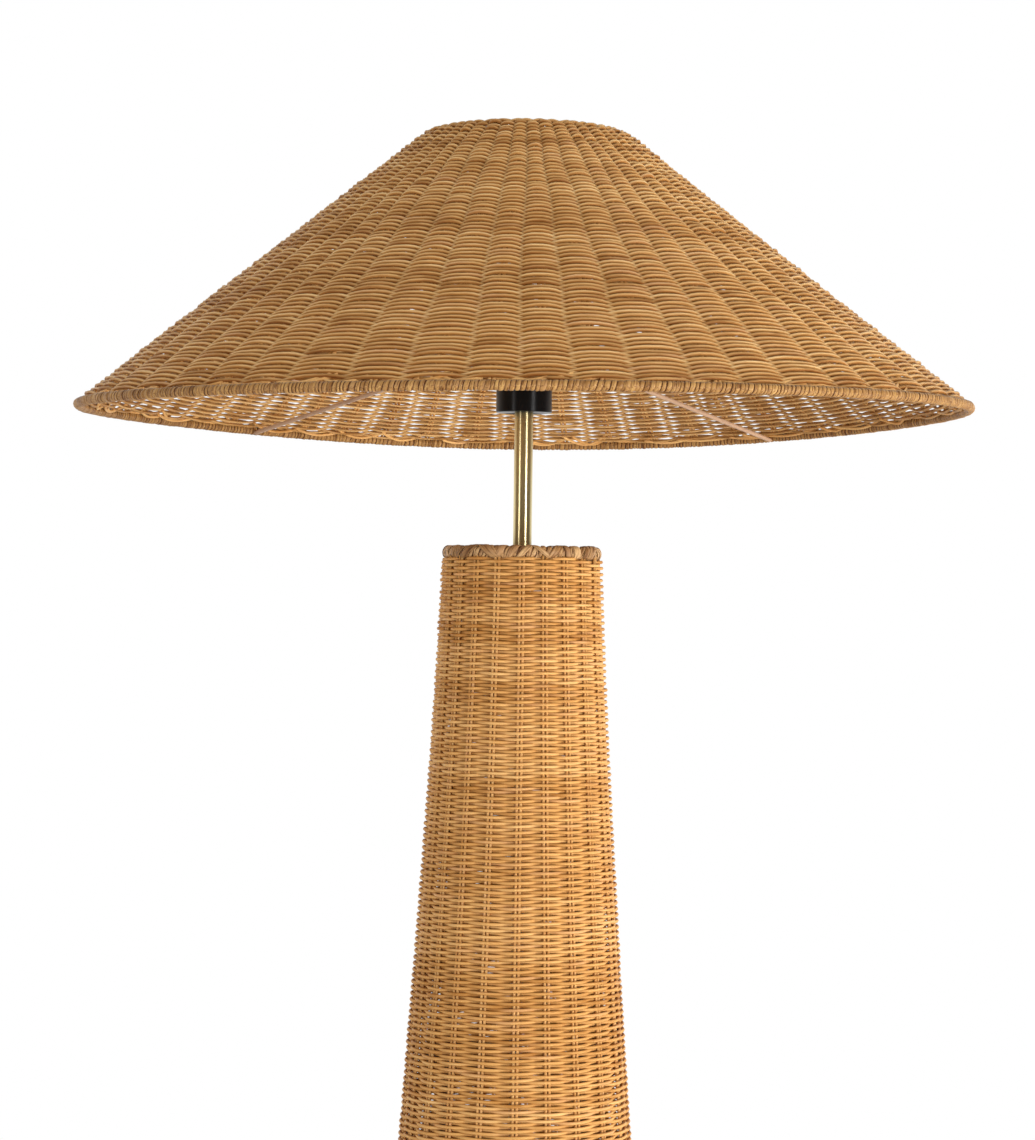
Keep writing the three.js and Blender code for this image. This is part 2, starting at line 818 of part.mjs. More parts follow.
/** The lamp with its ring nut and bulb. */
function lamp() {
  const group = new THREE.Group();
  group.add(
    stand(),
    shade(),
    piece("shade_ring_nut", ringNut(), blackPlastic()),
    piece("bulb_cap", bulbCap(), zincSteel()),
    piece("bulb_glass", bulbGlass(), finish(0xf2efe8, 0.2)),
  );
  return group;
}

export default lamp();
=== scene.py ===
"""Rattan floor lamp: woven shade and column of real strands, brass stem, lampholder and bulb.

Lengths are in metres in the lamp's own frame: +Z up, origin on the floor, near side facing -Y.
A profile that is closed at the axis ends AXIS away from it; PIPE_BORE is the radius of the pipe's holes.
A woven wall is described by u, the number of stake pairs passed on the way round, and by s, the distance
along the wall. One strand runs round and round; its distance from the wall's middle is a wave in u.
"""

import json
import logging
import math
from abc import ABC, abstractmethod
from collections.abc import Callable, Sequence
from dataclasses import dataclass, field
from enum import Enum

import bpy
import numpy as np
from mathutils import Euler, Matrix, Vector

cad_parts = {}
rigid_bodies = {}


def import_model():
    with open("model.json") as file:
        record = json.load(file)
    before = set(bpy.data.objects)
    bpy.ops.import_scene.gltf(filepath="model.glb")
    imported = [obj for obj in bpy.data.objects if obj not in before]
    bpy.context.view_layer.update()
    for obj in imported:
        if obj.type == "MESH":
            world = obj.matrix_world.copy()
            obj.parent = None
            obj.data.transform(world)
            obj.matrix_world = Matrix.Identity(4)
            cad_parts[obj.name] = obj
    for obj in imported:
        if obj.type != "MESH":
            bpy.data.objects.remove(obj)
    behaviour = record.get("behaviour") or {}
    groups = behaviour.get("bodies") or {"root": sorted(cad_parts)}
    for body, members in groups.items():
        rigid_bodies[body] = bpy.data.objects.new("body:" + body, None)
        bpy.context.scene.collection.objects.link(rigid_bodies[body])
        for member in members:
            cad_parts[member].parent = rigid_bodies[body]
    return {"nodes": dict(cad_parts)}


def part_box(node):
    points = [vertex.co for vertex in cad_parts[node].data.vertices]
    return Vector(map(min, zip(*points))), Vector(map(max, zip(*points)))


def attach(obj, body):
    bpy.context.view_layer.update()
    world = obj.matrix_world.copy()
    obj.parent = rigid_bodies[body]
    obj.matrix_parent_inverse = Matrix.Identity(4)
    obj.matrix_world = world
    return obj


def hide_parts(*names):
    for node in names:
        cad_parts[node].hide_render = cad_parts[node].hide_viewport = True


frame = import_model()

log = logging.getLogger("lamp")

MM = 0.001
TURN = 2 * math.pi
AXIS = 0.02 * MM
PIPE_BORE = 5.3 * MM
PHOTO_WIDTH, PHOTO_HEIGHT = 1035, 1140

Array = np.ndarray
Colour = tuple[float, float, float]


class Body(str, Enum):
    """Bodies that pieces ride on."""

    STAND = "stand"
    SHADE = "shade"
    RING_NUT = "ring_nut"
    BULB = "bulb"


# Shader maths


class Value:
    """A socket that takes part in Python arithmetic."""

    def __init__(self, graph: "Graph", socket: bpy.types.NodeSocket) -> None:
        """Wraps one output socket of a graph."""
        self.graph = graph
        self.socket = socket

    def maths(self, operation: str, *others: "Value | float") -> "Value":
        """Adds a Math node.

        Args:
            operation: the Math node's operation.
            others: its second and third inputs.

        Returns:
            The node's result.
        """
        inputs = {i: value for i, value in enumerate((self, *others))}
        return self.graph.node("ShaderNodeMath", {"operation": operation}, inputs)

    def __add__(self, other: "Value | float") -> "Value":
        """Sum."""
        return self.maths("ADD", other)

    def __mul__(self, other: "Value | float") -> "Value":
        """Product."""
        return self.maths("MULTIPLY", other)

    def __sub__(self, other: "Value | float") -> "Value":
        """Difference."""
        return self.maths("SUBTRACT", other)

    def __rsub__(self, other: float) -> "Value":
        """A number less this value."""
        return self.maths("MULTIPLY", -1.0) + other

    __radd__ = __add__
    __rmul__ = __mul__


class Graph:
    """Node tree of one material or world."""

    def __init__(self, tree: bpy.types.NodeTree) -> None:
        """Starts with an empty tree."""
        self.tree = tree
        tree.nodes.clear()

    def node(
        self,
        kind: str,
        settings: dict[str, object] | None = None,
        inputs: dict[str | int, object] | None = None,
        output: str | int = 0,
    ) -> Value | None:
        """Adds a node.

        Args:
            kind: the node's type.
            settings: its properties, set first.
            inputs: values or links of its sockets, by name or number.
            output: the socket that is returned.

        Returns:
            The chosen output, or None where the node has none.
        """
        made = self.tree.nodes.new(kind)
        for name, value in (settings or {}).items():
            setattr(made, name, value)
        for name, value in (inputs or {}).items():
            self.feed(made.inputs[name], value)
        return Value(self, made.outputs[output]) if made.outputs else None

    def feed(self, socket: bpy.types.NodeSocket, value: object) -> None:
        """Links a value to a socket, or sets the socket's own value."""
        if isinstance(value, Value):
            self.tree.links.new(value.socket, socket)
        elif isinstance(value, tuple) and len(value) == 3 and socket.type == "RGBA":
            socket.default_value = (*value, 1.0)
        else:
            socket.default_value = value

    def mix(self, factor: Value | float, first: object, second: object, blend: str = "MIX") -> Value:
        """Mixes two colours.

        Args:
            factor: share of the second.
            first: colour or link.
            second: colour or link.
            blend: blend mode.

        Returns:
            The mixed colour.
        """
        settings = {"data_type": "RGBA", "blend_type": blend, "clamp_factor": True}
        return self.node("ShaderNodeMix", settings, {0: factor, 6: first, 7: second}, 2)

    def stretched(self, place: Value, scale: Sequence[float]) -> Value:
        """A place whose three axes are scaled."""
        return self.node("ShaderNodeVectorMath", {"operation": "MULTIPLY"}, {0: place, 1: tuple(scale)})

    def noise(self, place: Value, scale: float, detail: float = 2.0, roughness: float = 0.5) -> Value:
        """Noise about 0.5 at a place."""
        inputs = {"Vector": place, "Scale": scale, "Detail": detail, "Roughness": roughness}
        return self.node("ShaderNodeTexNoise", {}, inputs)

    def spread(
        self, value: Value, low: float, high: float, to_low: float = 0.0, to_high: float = 1.0
    ) -> Value:
        """The value's range from low to high, carried smoothly to another range."""
        inputs = {0: value, 1: low, 2: high, 3: to_low, 4: to_high}
        return self.node("ShaderNodeMapRange", {"interpolation_type": "SMOOTHSTEP"}, inputs)

    def attribute(self, name: str, output: str) -> Value:
        """A mesh attribute."""
        return self.node("ShaderNodeAttribute", {"attribute_name": name}, output=output)

    def objects(self) -> Value:
        """Object coordinates."""
        return self.node("ShaderNodeTexCoord", output="Object")

    def bump(self, height: Value, depth: float) -> Value:
        """A normal for a height between 0 and 1 that stands for a depth in metres."""
        return self.node("ShaderNodeBump", {}, {"Strength": 1.0, "Distance": depth, "Height": height})

    def surface(self, **sockets: object) -> None:
        """Ends the tree in a Principled surface.

        Args:
            sockets: its inputs, with underscores for spaces.
        """
        inputs = {name.replace("_", " "): value for name, value in sockets.items()}
        shader = self.node("ShaderNodeBsdfPrincipled", {}, inputs)
        self.node("ShaderNodeOutputMaterial", {}, {"Surface": shader})


# Finishes


@dataclass(frozen=True)
class Finish(ABC):
    """How a surface looks: its own name, and a slot name that is not used. Each kind draws its own node
    tree.
    """

    name: str
    slot: str

    def material(self) -> bpy.types.Material:
        """The finish as a material of its own name, made once."""
        known = bpy.data.materials.get(self.name)
        if known:
            return known
        made = bpy.data.materials.new(self.name)
        made.use_nodes = True
        self.draw(Graph(made.node_tree))
        return made

    @abstractmethod
    def draw(self, graph: Graph) -> None:
        """Fills the material's node tree."""


@dataclass(frozen=True)
class Cane(Finish):
    """Rattan. The attribute cane is the place in the straightened strand, tone the strand's own shade; a
    tone below 0 is painted shadow in a groove between wraps.
    """

    pale: Colour
    middle: Colour
    dark: Colour
    rosy: Colour
    roughness: float = 0.48
    patch_length: float = 45 * MM
    fibre_width: float = 0.5 * MM
    fibre_depth: float = 0.05 * MM
    fibre_shade: float = 0.3
    tone_share: float = 0.3
    # Painted shade: strand sides farther than half of edge from the middle are darkened towards the crease
    # colour, as shade between rows.
    edge: float = 1.25 * MM
    painted_crease_share: float = 0.0
    painted_crease_colour: Colour = (0.6, 0.38, 0.15)
    rosy_share: float = 0.6
    mark_share: float = 0.5
    painted_groove_share: float = 0.85

    def draw(self, graph: Graph) -> None:
        """Patches of tone along the strand, fine fibres, rosy lengths and dark marks, with painted shadow in
        the grooves between wraps and painted shade in the creases between rows.
        """
        place = graph.attribute("cane", "Vector")
        tone = graph.attribute("tone", "Fac")
        along = graph.stretched(place, (1.0, 6.0, 6.0))
        patches = graph.noise(along, 1 / self.patch_length, 3.0, 0.6)
        shade = tone * self.tone_share + patches
        middle = 0.5 * (1 + self.tone_share)
        reach, overlap = 0.3, 0.02
        colour = graph.mix(graph.spread(shade, middle - reach, middle + overlap), self.dark, self.middle)
        colour = graph.mix(graph.spread(shade, middle - overlap, middle + reach), colour, self.pale)
        rose = graph.noise(along, 0.7 / self.patch_length, 2.0, 0.5)
        colour = graph.mix(graph.spread(rose, 0.52, 0.7, 0.0, self.rosy_share), colour, self.rosy)
        lengthwise = graph.stretched(place, (0.04, 1.0, 1.0))
        fibres = graph.noise(lengthwise, 1 / self.fibre_width, 3.0, 0.65)
        streaks = graph.spread(fibres, 0.34, 0.54, self.fibre_shade, 0.0)
        colour = graph.mix(streaks, colour, self.dark, "MULTIPLY")
        marks = graph.noise(graph.stretched(place, (1.0, 3.0, 3.0)), 2.4 / self.patch_length, 4.0, 0.7)
        marked = graph.spread(marks, 0.66, 0.76, 0.0, self.mark_share)
        colour = graph.mix(marked, colour, self.dark, "MULTIPLY")
        # Painted shadow: tones below 0 darken the colour, standing in for shade in the grooves between a
        # binding's wraps.
        painted_groove = graph.spread(tone, -0.9, 0.0, self.painted_groove_share, 0.0)
        colour = graph.mix(painted_groove, colour, self.dark, "MULTIPLY")
        # Painted shade: a strand's sides next to its neighbours are multiplied by a warm dark colour,
        # standing in for shade between rows.
        side = graph.node("ShaderNodeSeparateXYZ", {}, {0: place}, "Z").maths("ABSOLUTE")
        painted_crease_mask = graph.spread(side, self.edge * 0.5, self.edge, 0.0, self.painted_crease_share)
        colour = graph.mix(painted_crease_mask, colour, self.painted_crease_colour, "MULTIPLY")
        roughness = graph.spread(fibres, 0.3, 0.7, self.roughness + 0.14, self.roughness - 0.06)
        graph.surface(
            Base_Color=colour,
            Roughness=roughness,
            Specular_IOR_Level=0.2,
            Normal=graph.bump(fibres, self.fibre_depth),
        )


@dataclass(frozen=True)
class Metal(Finish):
    """Plated or drawn metal with fine lines along the Z axis, more blurred along it where it is brushed."""

    colour: Colour
    tarnish: Colour
    roughness: float
    lines: tuple[float, float, float] = (900.0, 900.0, 30.0)
    line_depth: float = 0.004 * MM
    anisotropic: float = 0.0
    wear: float = 0.12

    def draw(self, graph: Graph) -> None:
        """Fine lines with faint clouds of tarnish."""
        cloud_scale, tarnish_share = 38.0, 0.45
        place = graph.objects()
        lines = graph.noise(graph.stretched(place, self.lines), 1.0, 3.0, 0.6)
        clouds = graph.noise(place, cloud_scale, 4.0, 0.6)
        colour = graph.mix(graph.spread(clouds, 0.45, 0.75, 0.0, tarnish_share), self.colour, self.tarnish)
        worn = graph.spread(clouds, 0.35, 0.7, self.wear / -3, self.wear * 2 / 3)
        roughness = graph.spread(lines, 0.3, 0.7, self.roughness - 0.03, self.roughness + 0.05) + worn
        graph.surface(
            Base_Color=colour,
            Metallic=1.0,
            Roughness=roughness,
            Anisotropic=self.anisotropic,
            Anisotropic_Rotation=0.25,
            Normal=graph.bump(lines, self.line_depth),
        )


@dataclass(frozen=True)
class Coating(Finish):
    """Paint or moulded plastic: a colour with soft clouds of wear over a fine grain."""

    colour: Colour
    worn: Colour
    roughness: float
    grain: float = 1400.0
    grain_depth: float = 0.012 * MM
    shine: float = 0.5
    anisotropic: float = 0.0

    def draw(self, graph: Graph) -> None:
        """Clouded colour over a fine grain."""
        cloud_scale, worn_share = 60.0, 0.6
        place = graph.objects()
        clouds = graph.noise(place, cloud_scale, 4.0, 0.6)
        grain = graph.noise(place, self.grain, 2.0, 0.5)
        colour = graph.mix(graph.spread(clouds, 0.42, 0.72, 0.0, worn_share), self.colour, self.worn)
        roughness = graph.spread(clouds, 0.3, 0.7, self.roughness - 0.05, self.roughness + 0.07)
        graph.surface(
            Base_Color=colour,
            Roughness=roughness,
            Specular_IOR_Level=self.shine,
            Anisotropic=self.anisotropic,
            Anisotropic_Rotation=0.25,
            Normal=graph.bump(grain, self.grain_depth),
        )


@dataclass(frozen=True)
class Board(Finish):
    """Lacquered wood with straight grain along X."""

    early: Colour
    late: Colour
    roughness: float = 0.4
    ring_width: float = 4 * MM
    pore_scale: float = 3500.0
    pore_depth: float = 0.02 * MM

    def draw(self, graph: Graph) -> None:
        """Growth rings cut lengthwise, with fine pores."""
        place = graph.objects()
        bent = graph.noise(graph.stretched(place, (3.0, 14.0, 14.0)), 1.0, 2.0, 0.5)
        across = graph.stretched(place, (0.1, 1.0, 1.0))
        rings = graph.noise(across, 1 / self.ring_width, 2.0, 0.5) * 0.7 + bent * 0.5
        pores = graph.noise(graph.stretched(place, (0.06, 1.0, 1.0)), self.pore_scale, 2.0, 0.6)
        colour = graph.mix(graph.spread(rings, 0.45, 0.75), self.early, self.late)
        colour = graph.mix(graph.spread(pores, 0.36, 0.5, 0.6, 0.0), colour, self.late, "MULTIPLY")
        graph.surface(
            Base_Color=colour,
            Roughness=graph.spread(pores, 0.3, 0.6, self.roughness + 0.15, self.roughness),
            Normal=graph.bump(pores, self.pore_depth),
        )


@dataclass(frozen=True)
class Felt(Finish):
    """Pressed wool."""

    colour: Colour
    lint: Colour
    pile: float = 0.5 * MM

    def draw(self, graph: Graph) -> None:
        """Matted fibres with pale lint."""
        fibre_scale, fluff_scale = 900.0, 220.0
        place = graph.objects()
        mat = graph.noise(place, fibre_scale, 5.0, 0.7)
        fluff = graph.noise(place, fluff_scale, 3.0, 0.6)
        colour = graph.mix(graph.spread(mat, 0.5, 0.75), self.colour, self.lint)
        graph.surface(
            Base_Color=colour,
            Roughness=graph.spread(fluff, 0.3, 0.7, 0.88, 1.0),
            Sheen_Weight=0.3,
            Normal=graph.bump(mat * 0.6 + fluff * 0.4, self.pile),
        )


@dataclass(frozen=True)
class Opal(Finish):
    """Opal glass: milky under a glossy skin."""

    colour: Colour

    def draw(self, graph: Graph) -> None:
        """Faintly clouded white with a smooth gloss."""
        place = graph.objects()
        clouds = graph.noise(place, 45.0, 3.0, 0.5)
        warm = tuple(part * share for part, share in zip(self.colour, (1.0, 0.97, 0.92)))
        graph.surface(
            Base_Color=graph.mix(graph.spread(clouds, 0.3, 0.7), self.colour, warm),
            Roughness=graph.spread(clouds, 0.3, 0.7, 0.1, 0.16),
            Coat_Weight=0.6,
            Coat_Roughness=0.05,
        )


STRAND = Cane(
    "strand", "rattan",
    pale=(0.77, 0.46, 0.172), middle=(0.67, 0.355, 0.108), dark=(0.46, 0.2, 0.042), rosy=(0.68, 0.37, 0.16),
    painted_crease_share=0.5,
)
# Less red and greyer than the column's strand: partly the shade cane's own hue and partly painted shade for
# the shade's upward-facing wall; its creases get more painted shade.
SHADE_STRAND = Cane(
    "shade_strand", "rattan",
    pale=(0.78, 0.52, 0.235), middle=(0.63, 0.37, 0.138), dark=(0.38, 0.178, 0.046),
    rosy=(0.64, 0.375, 0.18), painted_crease_share=0.8,
)
STAKE = Cane(
    "stake", "rattan",
    pale=(0.84, 0.52, 0.2), middle=(0.74, 0.41, 0.14), dark=(0.54, 0.25, 0.06), rosy=(0.74, 0.42, 0.19),
)
PEEL = Cane(
    "peel", "pale_rattan",
    pale=(0.56, 0.325, 0.11), middle=(0.42, 0.22, 0.07), dark=(0.24, 0.105, 0.028), rosy=(0.39, 0.21, 0.084),
    roughness=0.36, patch_length=40 * MM, fibre_width=0.9 * MM, fibre_shade=0.8, tone_share=0.2,
)
COIL = Cane(
    "coil", "rattan",
    pale=(0.62, 0.39, 0.18), middle=(0.46, 0.26, 0.108), dark=(0.2, 0.09, 0.03), rosy=(0.48, 0.27, 0.13),
    roughness=0.4, patch_length=24 * MM, fibre_width=0.8 * MM, fibre_shade=0.7, tone_share=0.5,
)
BRASS = Metal(
    "brass", "satin_brass", (0.8, 0.68, 0.36), (0.68, 0.56, 0.27), 0.28,
    lines=(1500.0, 1500.0, 12.0), line_depth=0.0002 * MM, anisotropic=0.9, wear=0.02,
)
ZINC = Metal("zinc", "zinc_steel", (0.6, 0.61, 0.63), (0.42, 0.43, 0.45), 0.34)
DARK_STEEL = Coating("painted_steel", "dark_steel", (0.045, 0.045, 0.048), (0.09, 0.085, 0.08), 0.45)
WIRE = Coating("wire", "tan_wire", (0.5, 0.31, 0.19), (0.38, 0.22, 0.13), 0.36, grain=700.0)
BLACK = Coating(
    "black", "black_plastic", (0.0018, 0.0017, 0.0018), (0.0032, 0.003, 0.003), 0.32,
    grain_depth=0.0008 * MM, shine=0.24, anisotropic=0.9,
)
DISC = Board("disc", "disc_wood", (0.5, 0.29, 0.12), (0.3, 0.15, 0.055))
FELT = Felt("wool_felt", "felt", (0.022, 0.02, 0.019), (0.07, 0.065, 0.06))
OPAL = Opal("opal", "opal_glass", (0.86, 0.85, 0.82))


# Surfaces


@dataclass
class Surface:
    """Points and faces.

    Cane pieces also hold each point's place in the straightened cane, its tone, and each corner's place on
    the map.
    """

    points: Array
    quads: Array
    caps: Array | None = None
    cane: Array | None = None
    tone: Array | None = None
    quad_map: Array | None = None
    cap_map: Array | None = None

    def piece(self, name: str, finish: Finish, body: Body, replaces: Sequence[str] = ()) -> None:
        """Makes the surface a piece of the lamp.

        Args:
            name: the piece's name.
            finish: what it wears.
            body: the body that it rides on.
            replaces: CAD nodes that it stands for.
        """
        groups = [self.quads] if self.caps is None else [self.quads, self.caps]
        totals = np.concatenate([np.full(len(faces), faces.shape[1]) for faces in groups])
        corners = np.concatenate([faces.ravel() for faces in groups])
        mesh = bpy.data.meshes.new(name)
        mesh.vertices.add(len(self.points))
        mesh.vertices.foreach_set("co", self.points.astype(np.float32).ravel())
        mesh.loops.add(len(corners))
        mesh.loops.foreach_set("vertex_index", corners.astype(np.int32))
        mesh.polygons.add(len(totals))
        mesh.polygons.foreach_set("loop_start", (np.cumsum(totals) - totals).astype(np.int32))
        mesh.polygons.foreach_set("use_smooth", np.arange(len(totals)) < len(self.quads))
        mesh.update(calc_edges=True)
        if self.cane is not None:
            stored = mesh.attributes.new("cane", "FLOAT_VECTOR", "POINT")
            stored.data.foreach_set("vector", self.cane.astype(np.float32).ravel())
            stored = mesh.attributes.new("tone", "FLOAT", "POINT")
            stored.data.foreach_set("value", self.tone.astype(np.float32).ravel())
        if self.quad_map is not None:
            maps = [self.quad_map.reshape(-1, 2)]
            if self.caps is not None:
                maps.append(self.cap_map.reshape(-1, 2))
            baked = mesh.uv_layers.new(name="OFBake")
            baked.uv.foreach_set("vector", np.concatenate(maps).astype(np.float32).ravel())
        made = bpy.data.objects.new(name, mesh)
        bpy.context.scene.collection.objects.link(made)
        mesh.materials.append(finish.material())
        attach(made, body.value)
        if replaces:
            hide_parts(*replaces)
        log.info("%s: %d points, %d faces", name, len(self.points), len(totals))

    def stand_in(self, node: str, finish: Finish, body: Body) -> None:
        """Makes the surface the piece that stands for the CAD node of its name."""
        self.piece(node, finish, body, [node])


def unit(vectors: Array) -> Array:
    """Vectors over their lengths."""
    return vectors / np.linalg.norm(vectors, axis=-1, keepdims=True)


def around(reach: Array, angle: Array, height: Array | float) -> Array:
    """Points round Z: (reach * cos(angle), reach * sin(angle), height), all three spread to one shape."""
    across, along = reach * np.cos(angle), reach * np.sin(angle)
    return np.stack([across, along, np.broadcast_to(height, across.shape)], axis=-1)


def strip_map(segments: int, sides: int, aspect: float) -> Array:
    """Map of a long tube, cut into strips that fill a square one below the other.

    Segment g lies in strip g // row at place g % row, and its sides share the strip's height.

    Args:
        segments: how many segments the tubes have in all.
        sides: faces round a tube.
        aspect: a segment's length over the tube's girth.

    Returns:
        Places of four corners for every segment and side.
    """
    row = max(1, math.ceil(math.sqrt(segments / aspect)))
    rows = math.ceil(segments / row)
    kept = 0.94
    index = np.arange(segments)
    left = (index % row) / row
    low = (index // row) / rows
    edges = np.arange(sides + 1) / sides * kept / rows
    places = np.empty((segments, sides, 4, 2))
    places[..., 0] = left[:, None, None] + np.array([0, 0, 1, 1]) / row
    places[..., [0, 3], 1] = (low[:, None] + edges[:-1])[..., None]
    places[..., [1, 2], 1] = (low[:, None] + edges[1:])[..., None]
    return places


def tubes(
    paths: Array, outward: Array, radius: Array | float, sides: int, tone: Array, squeeze: float = 1.0
) -> Surface:
    """Round sections carried along paths, closed at both ends.

    point = path + radius * (cos(a) * up * squeeze + sin(a) * side), where side is square to the path and to
    the outward direction, and up is square to both.

    Args:
        paths: (count, steps, 3) middles.
        outward: (count, steps, 3) directions out of the wall.
        radius: of the section, one or (count, steps).
        sides: corners of the section.
        tone: (count, steps) shade of the cane, 0 to 1.
        squeeze: thickness out of the wall over thickness along it.

    Returns:
        One surface that holds all the tubes.
    """
    count, steps, _ = paths.shape
    along = unit(np.gradient(paths, axis=1))
    side = unit(np.cross(along, outward))
    up = np.cross(side, along)
    turn = np.arange(sides) * TURN / sides
    radius = np.broadcast_to(radius, (count, steps))[..., None, None]
    ring = np.cos(turn)[:, None] * up[:, :, None] * squeeze + np.sin(turn)[:, None] * side[:, :, None]
    points = paths[:, :, None] + radius * ring
    length = np.cumsum(np.linalg.norm(np.diff(paths, axis=1, prepend=paths[:, :1]), axis=-1), axis=1)
    apart = 0.73
    start = np.arange(count)[:, None] * apart
    cane = np.empty((count, steps, sides, 3))
    cane[..., 0] = (start + length)[..., None]
    cane[..., 1] = radius[..., 0] * np.cos(turn)
    cane[..., 2] = radius[..., 0] * np.sin(turn)
    index = np.arange(count * steps * sides).reshape(count, steps, sides)
    after = np.roll(index, -1, axis=2)
    quads = np.stack([index[:, :-1], after[:, :-1], after[:, 1:], index[:, 1:]], axis=-1)
    segments = count * (steps - 1)
    girth = TURN * float(radius.mean())
    spacing = float(length[:, -1].mean()) / (steps - 1)
    quad_map = strip_map(segments, sides, spacing / girth)
    ends = np.concatenate([index[:, 0, ::-1], index[:, -1]])
    flat = quad_map.reshape(count, steps - 1, sides, 4, 2)
    spots = np.concatenate([flat[:, 0].mean(axis=(1, 2)), flat[:, -1].mean(axis=(1, 2))])
    return Surface(
        points=points.reshape(-1, 3),
        quads=quads.reshape(-1, 4),
        caps=ends,
        cane=cane.reshape(-1, 3),
        tone=np.repeat(tone.reshape(-1), sides),
        quad_map=quad_map,
        cap_map=np.repeat(spots[:, None], sides, axis=1),
    )


def lathe(profile: Sequence[tuple[float, float]] | Array, facets: int = 96) -> Surface:
    """A closed profile turned about Z: point = (r cos a, r sin a, h).

    Args:
        profile: (radius, height) corners, anticlockwise, the first not repeated.
        facets: steps round the axis.

    Returns:
        The turned surface.
    """
    radius, height = np.array(profile).T
    return ring_grid(around(radius, round_turn(facets), height))


def round_turn(facets: int) -> Array:
    """Angles of equal steps round the axis, as a column."""
    return (np.arange(facets) * TURN / facets)[:, None]


def ring_grid(points: Array) -> Surface:
    """A surface on a (columns, rows, 3) grid of points that closes on itself both ways."""
    return Surface(points=points.reshape(-1, 3), quads=wrapped_quads(*points.shape[:2]))


def wrapped_quads(columns: int, rows: int, shift: int = 0) -> Array:
    """Faces of a grid that closes on itself both ways.

    Args:
        columns: steps round the ring.
        rows: steps round the section.
        shift: columns that the grid moves on for one turn round the section.

    Returns:
        Four corners a face.
    """
    index = np.arange(columns * rows).reshape(columns, rows)
    beyond = np.roll(index[:, :1], -shift, axis=0)
    wide = np.concatenate([index, beyond], axis=1)
    after = np.roll(wide, -1, axis=0)
    quads = np.stack([wide[:, :-1], after[:, :-1], after[:, 1:], wide[:, 1:]], axis=-1)
    return quads.reshape(-1, 4)


def rounded(corners: Sequence[tuple[float, float, float]], steps: int = 4) -> list[tuple[float, float]]:
    """An outline whose corners are rounded: each arc touches both sides of its corner.

    Args:
        corners: (radius, height, fillet) of each corner, in order.
        steps: chords in an arc.

    Returns:
        (radius, height) places.
    """
    places: list[tuple[float, float]] = []
    count = len(corners)
    for i, (radius, height, fillet) in enumerate(corners):
        here = np.array([radius, height])
        if fillet == 0:
            places.append((radius, height))
            continue
        before = unit(np.array(corners[i - 1][:2]) - here)
        after = unit(np.array(corners[(i + 1) % count][:2]) - here)
        for k in range(steps + 1):
            share = k / steps
            pull = (1 - share) ** 2 * before + share**2 * after
            places.append(tuple(here + pull * fillet))
    return places


# Woven walls


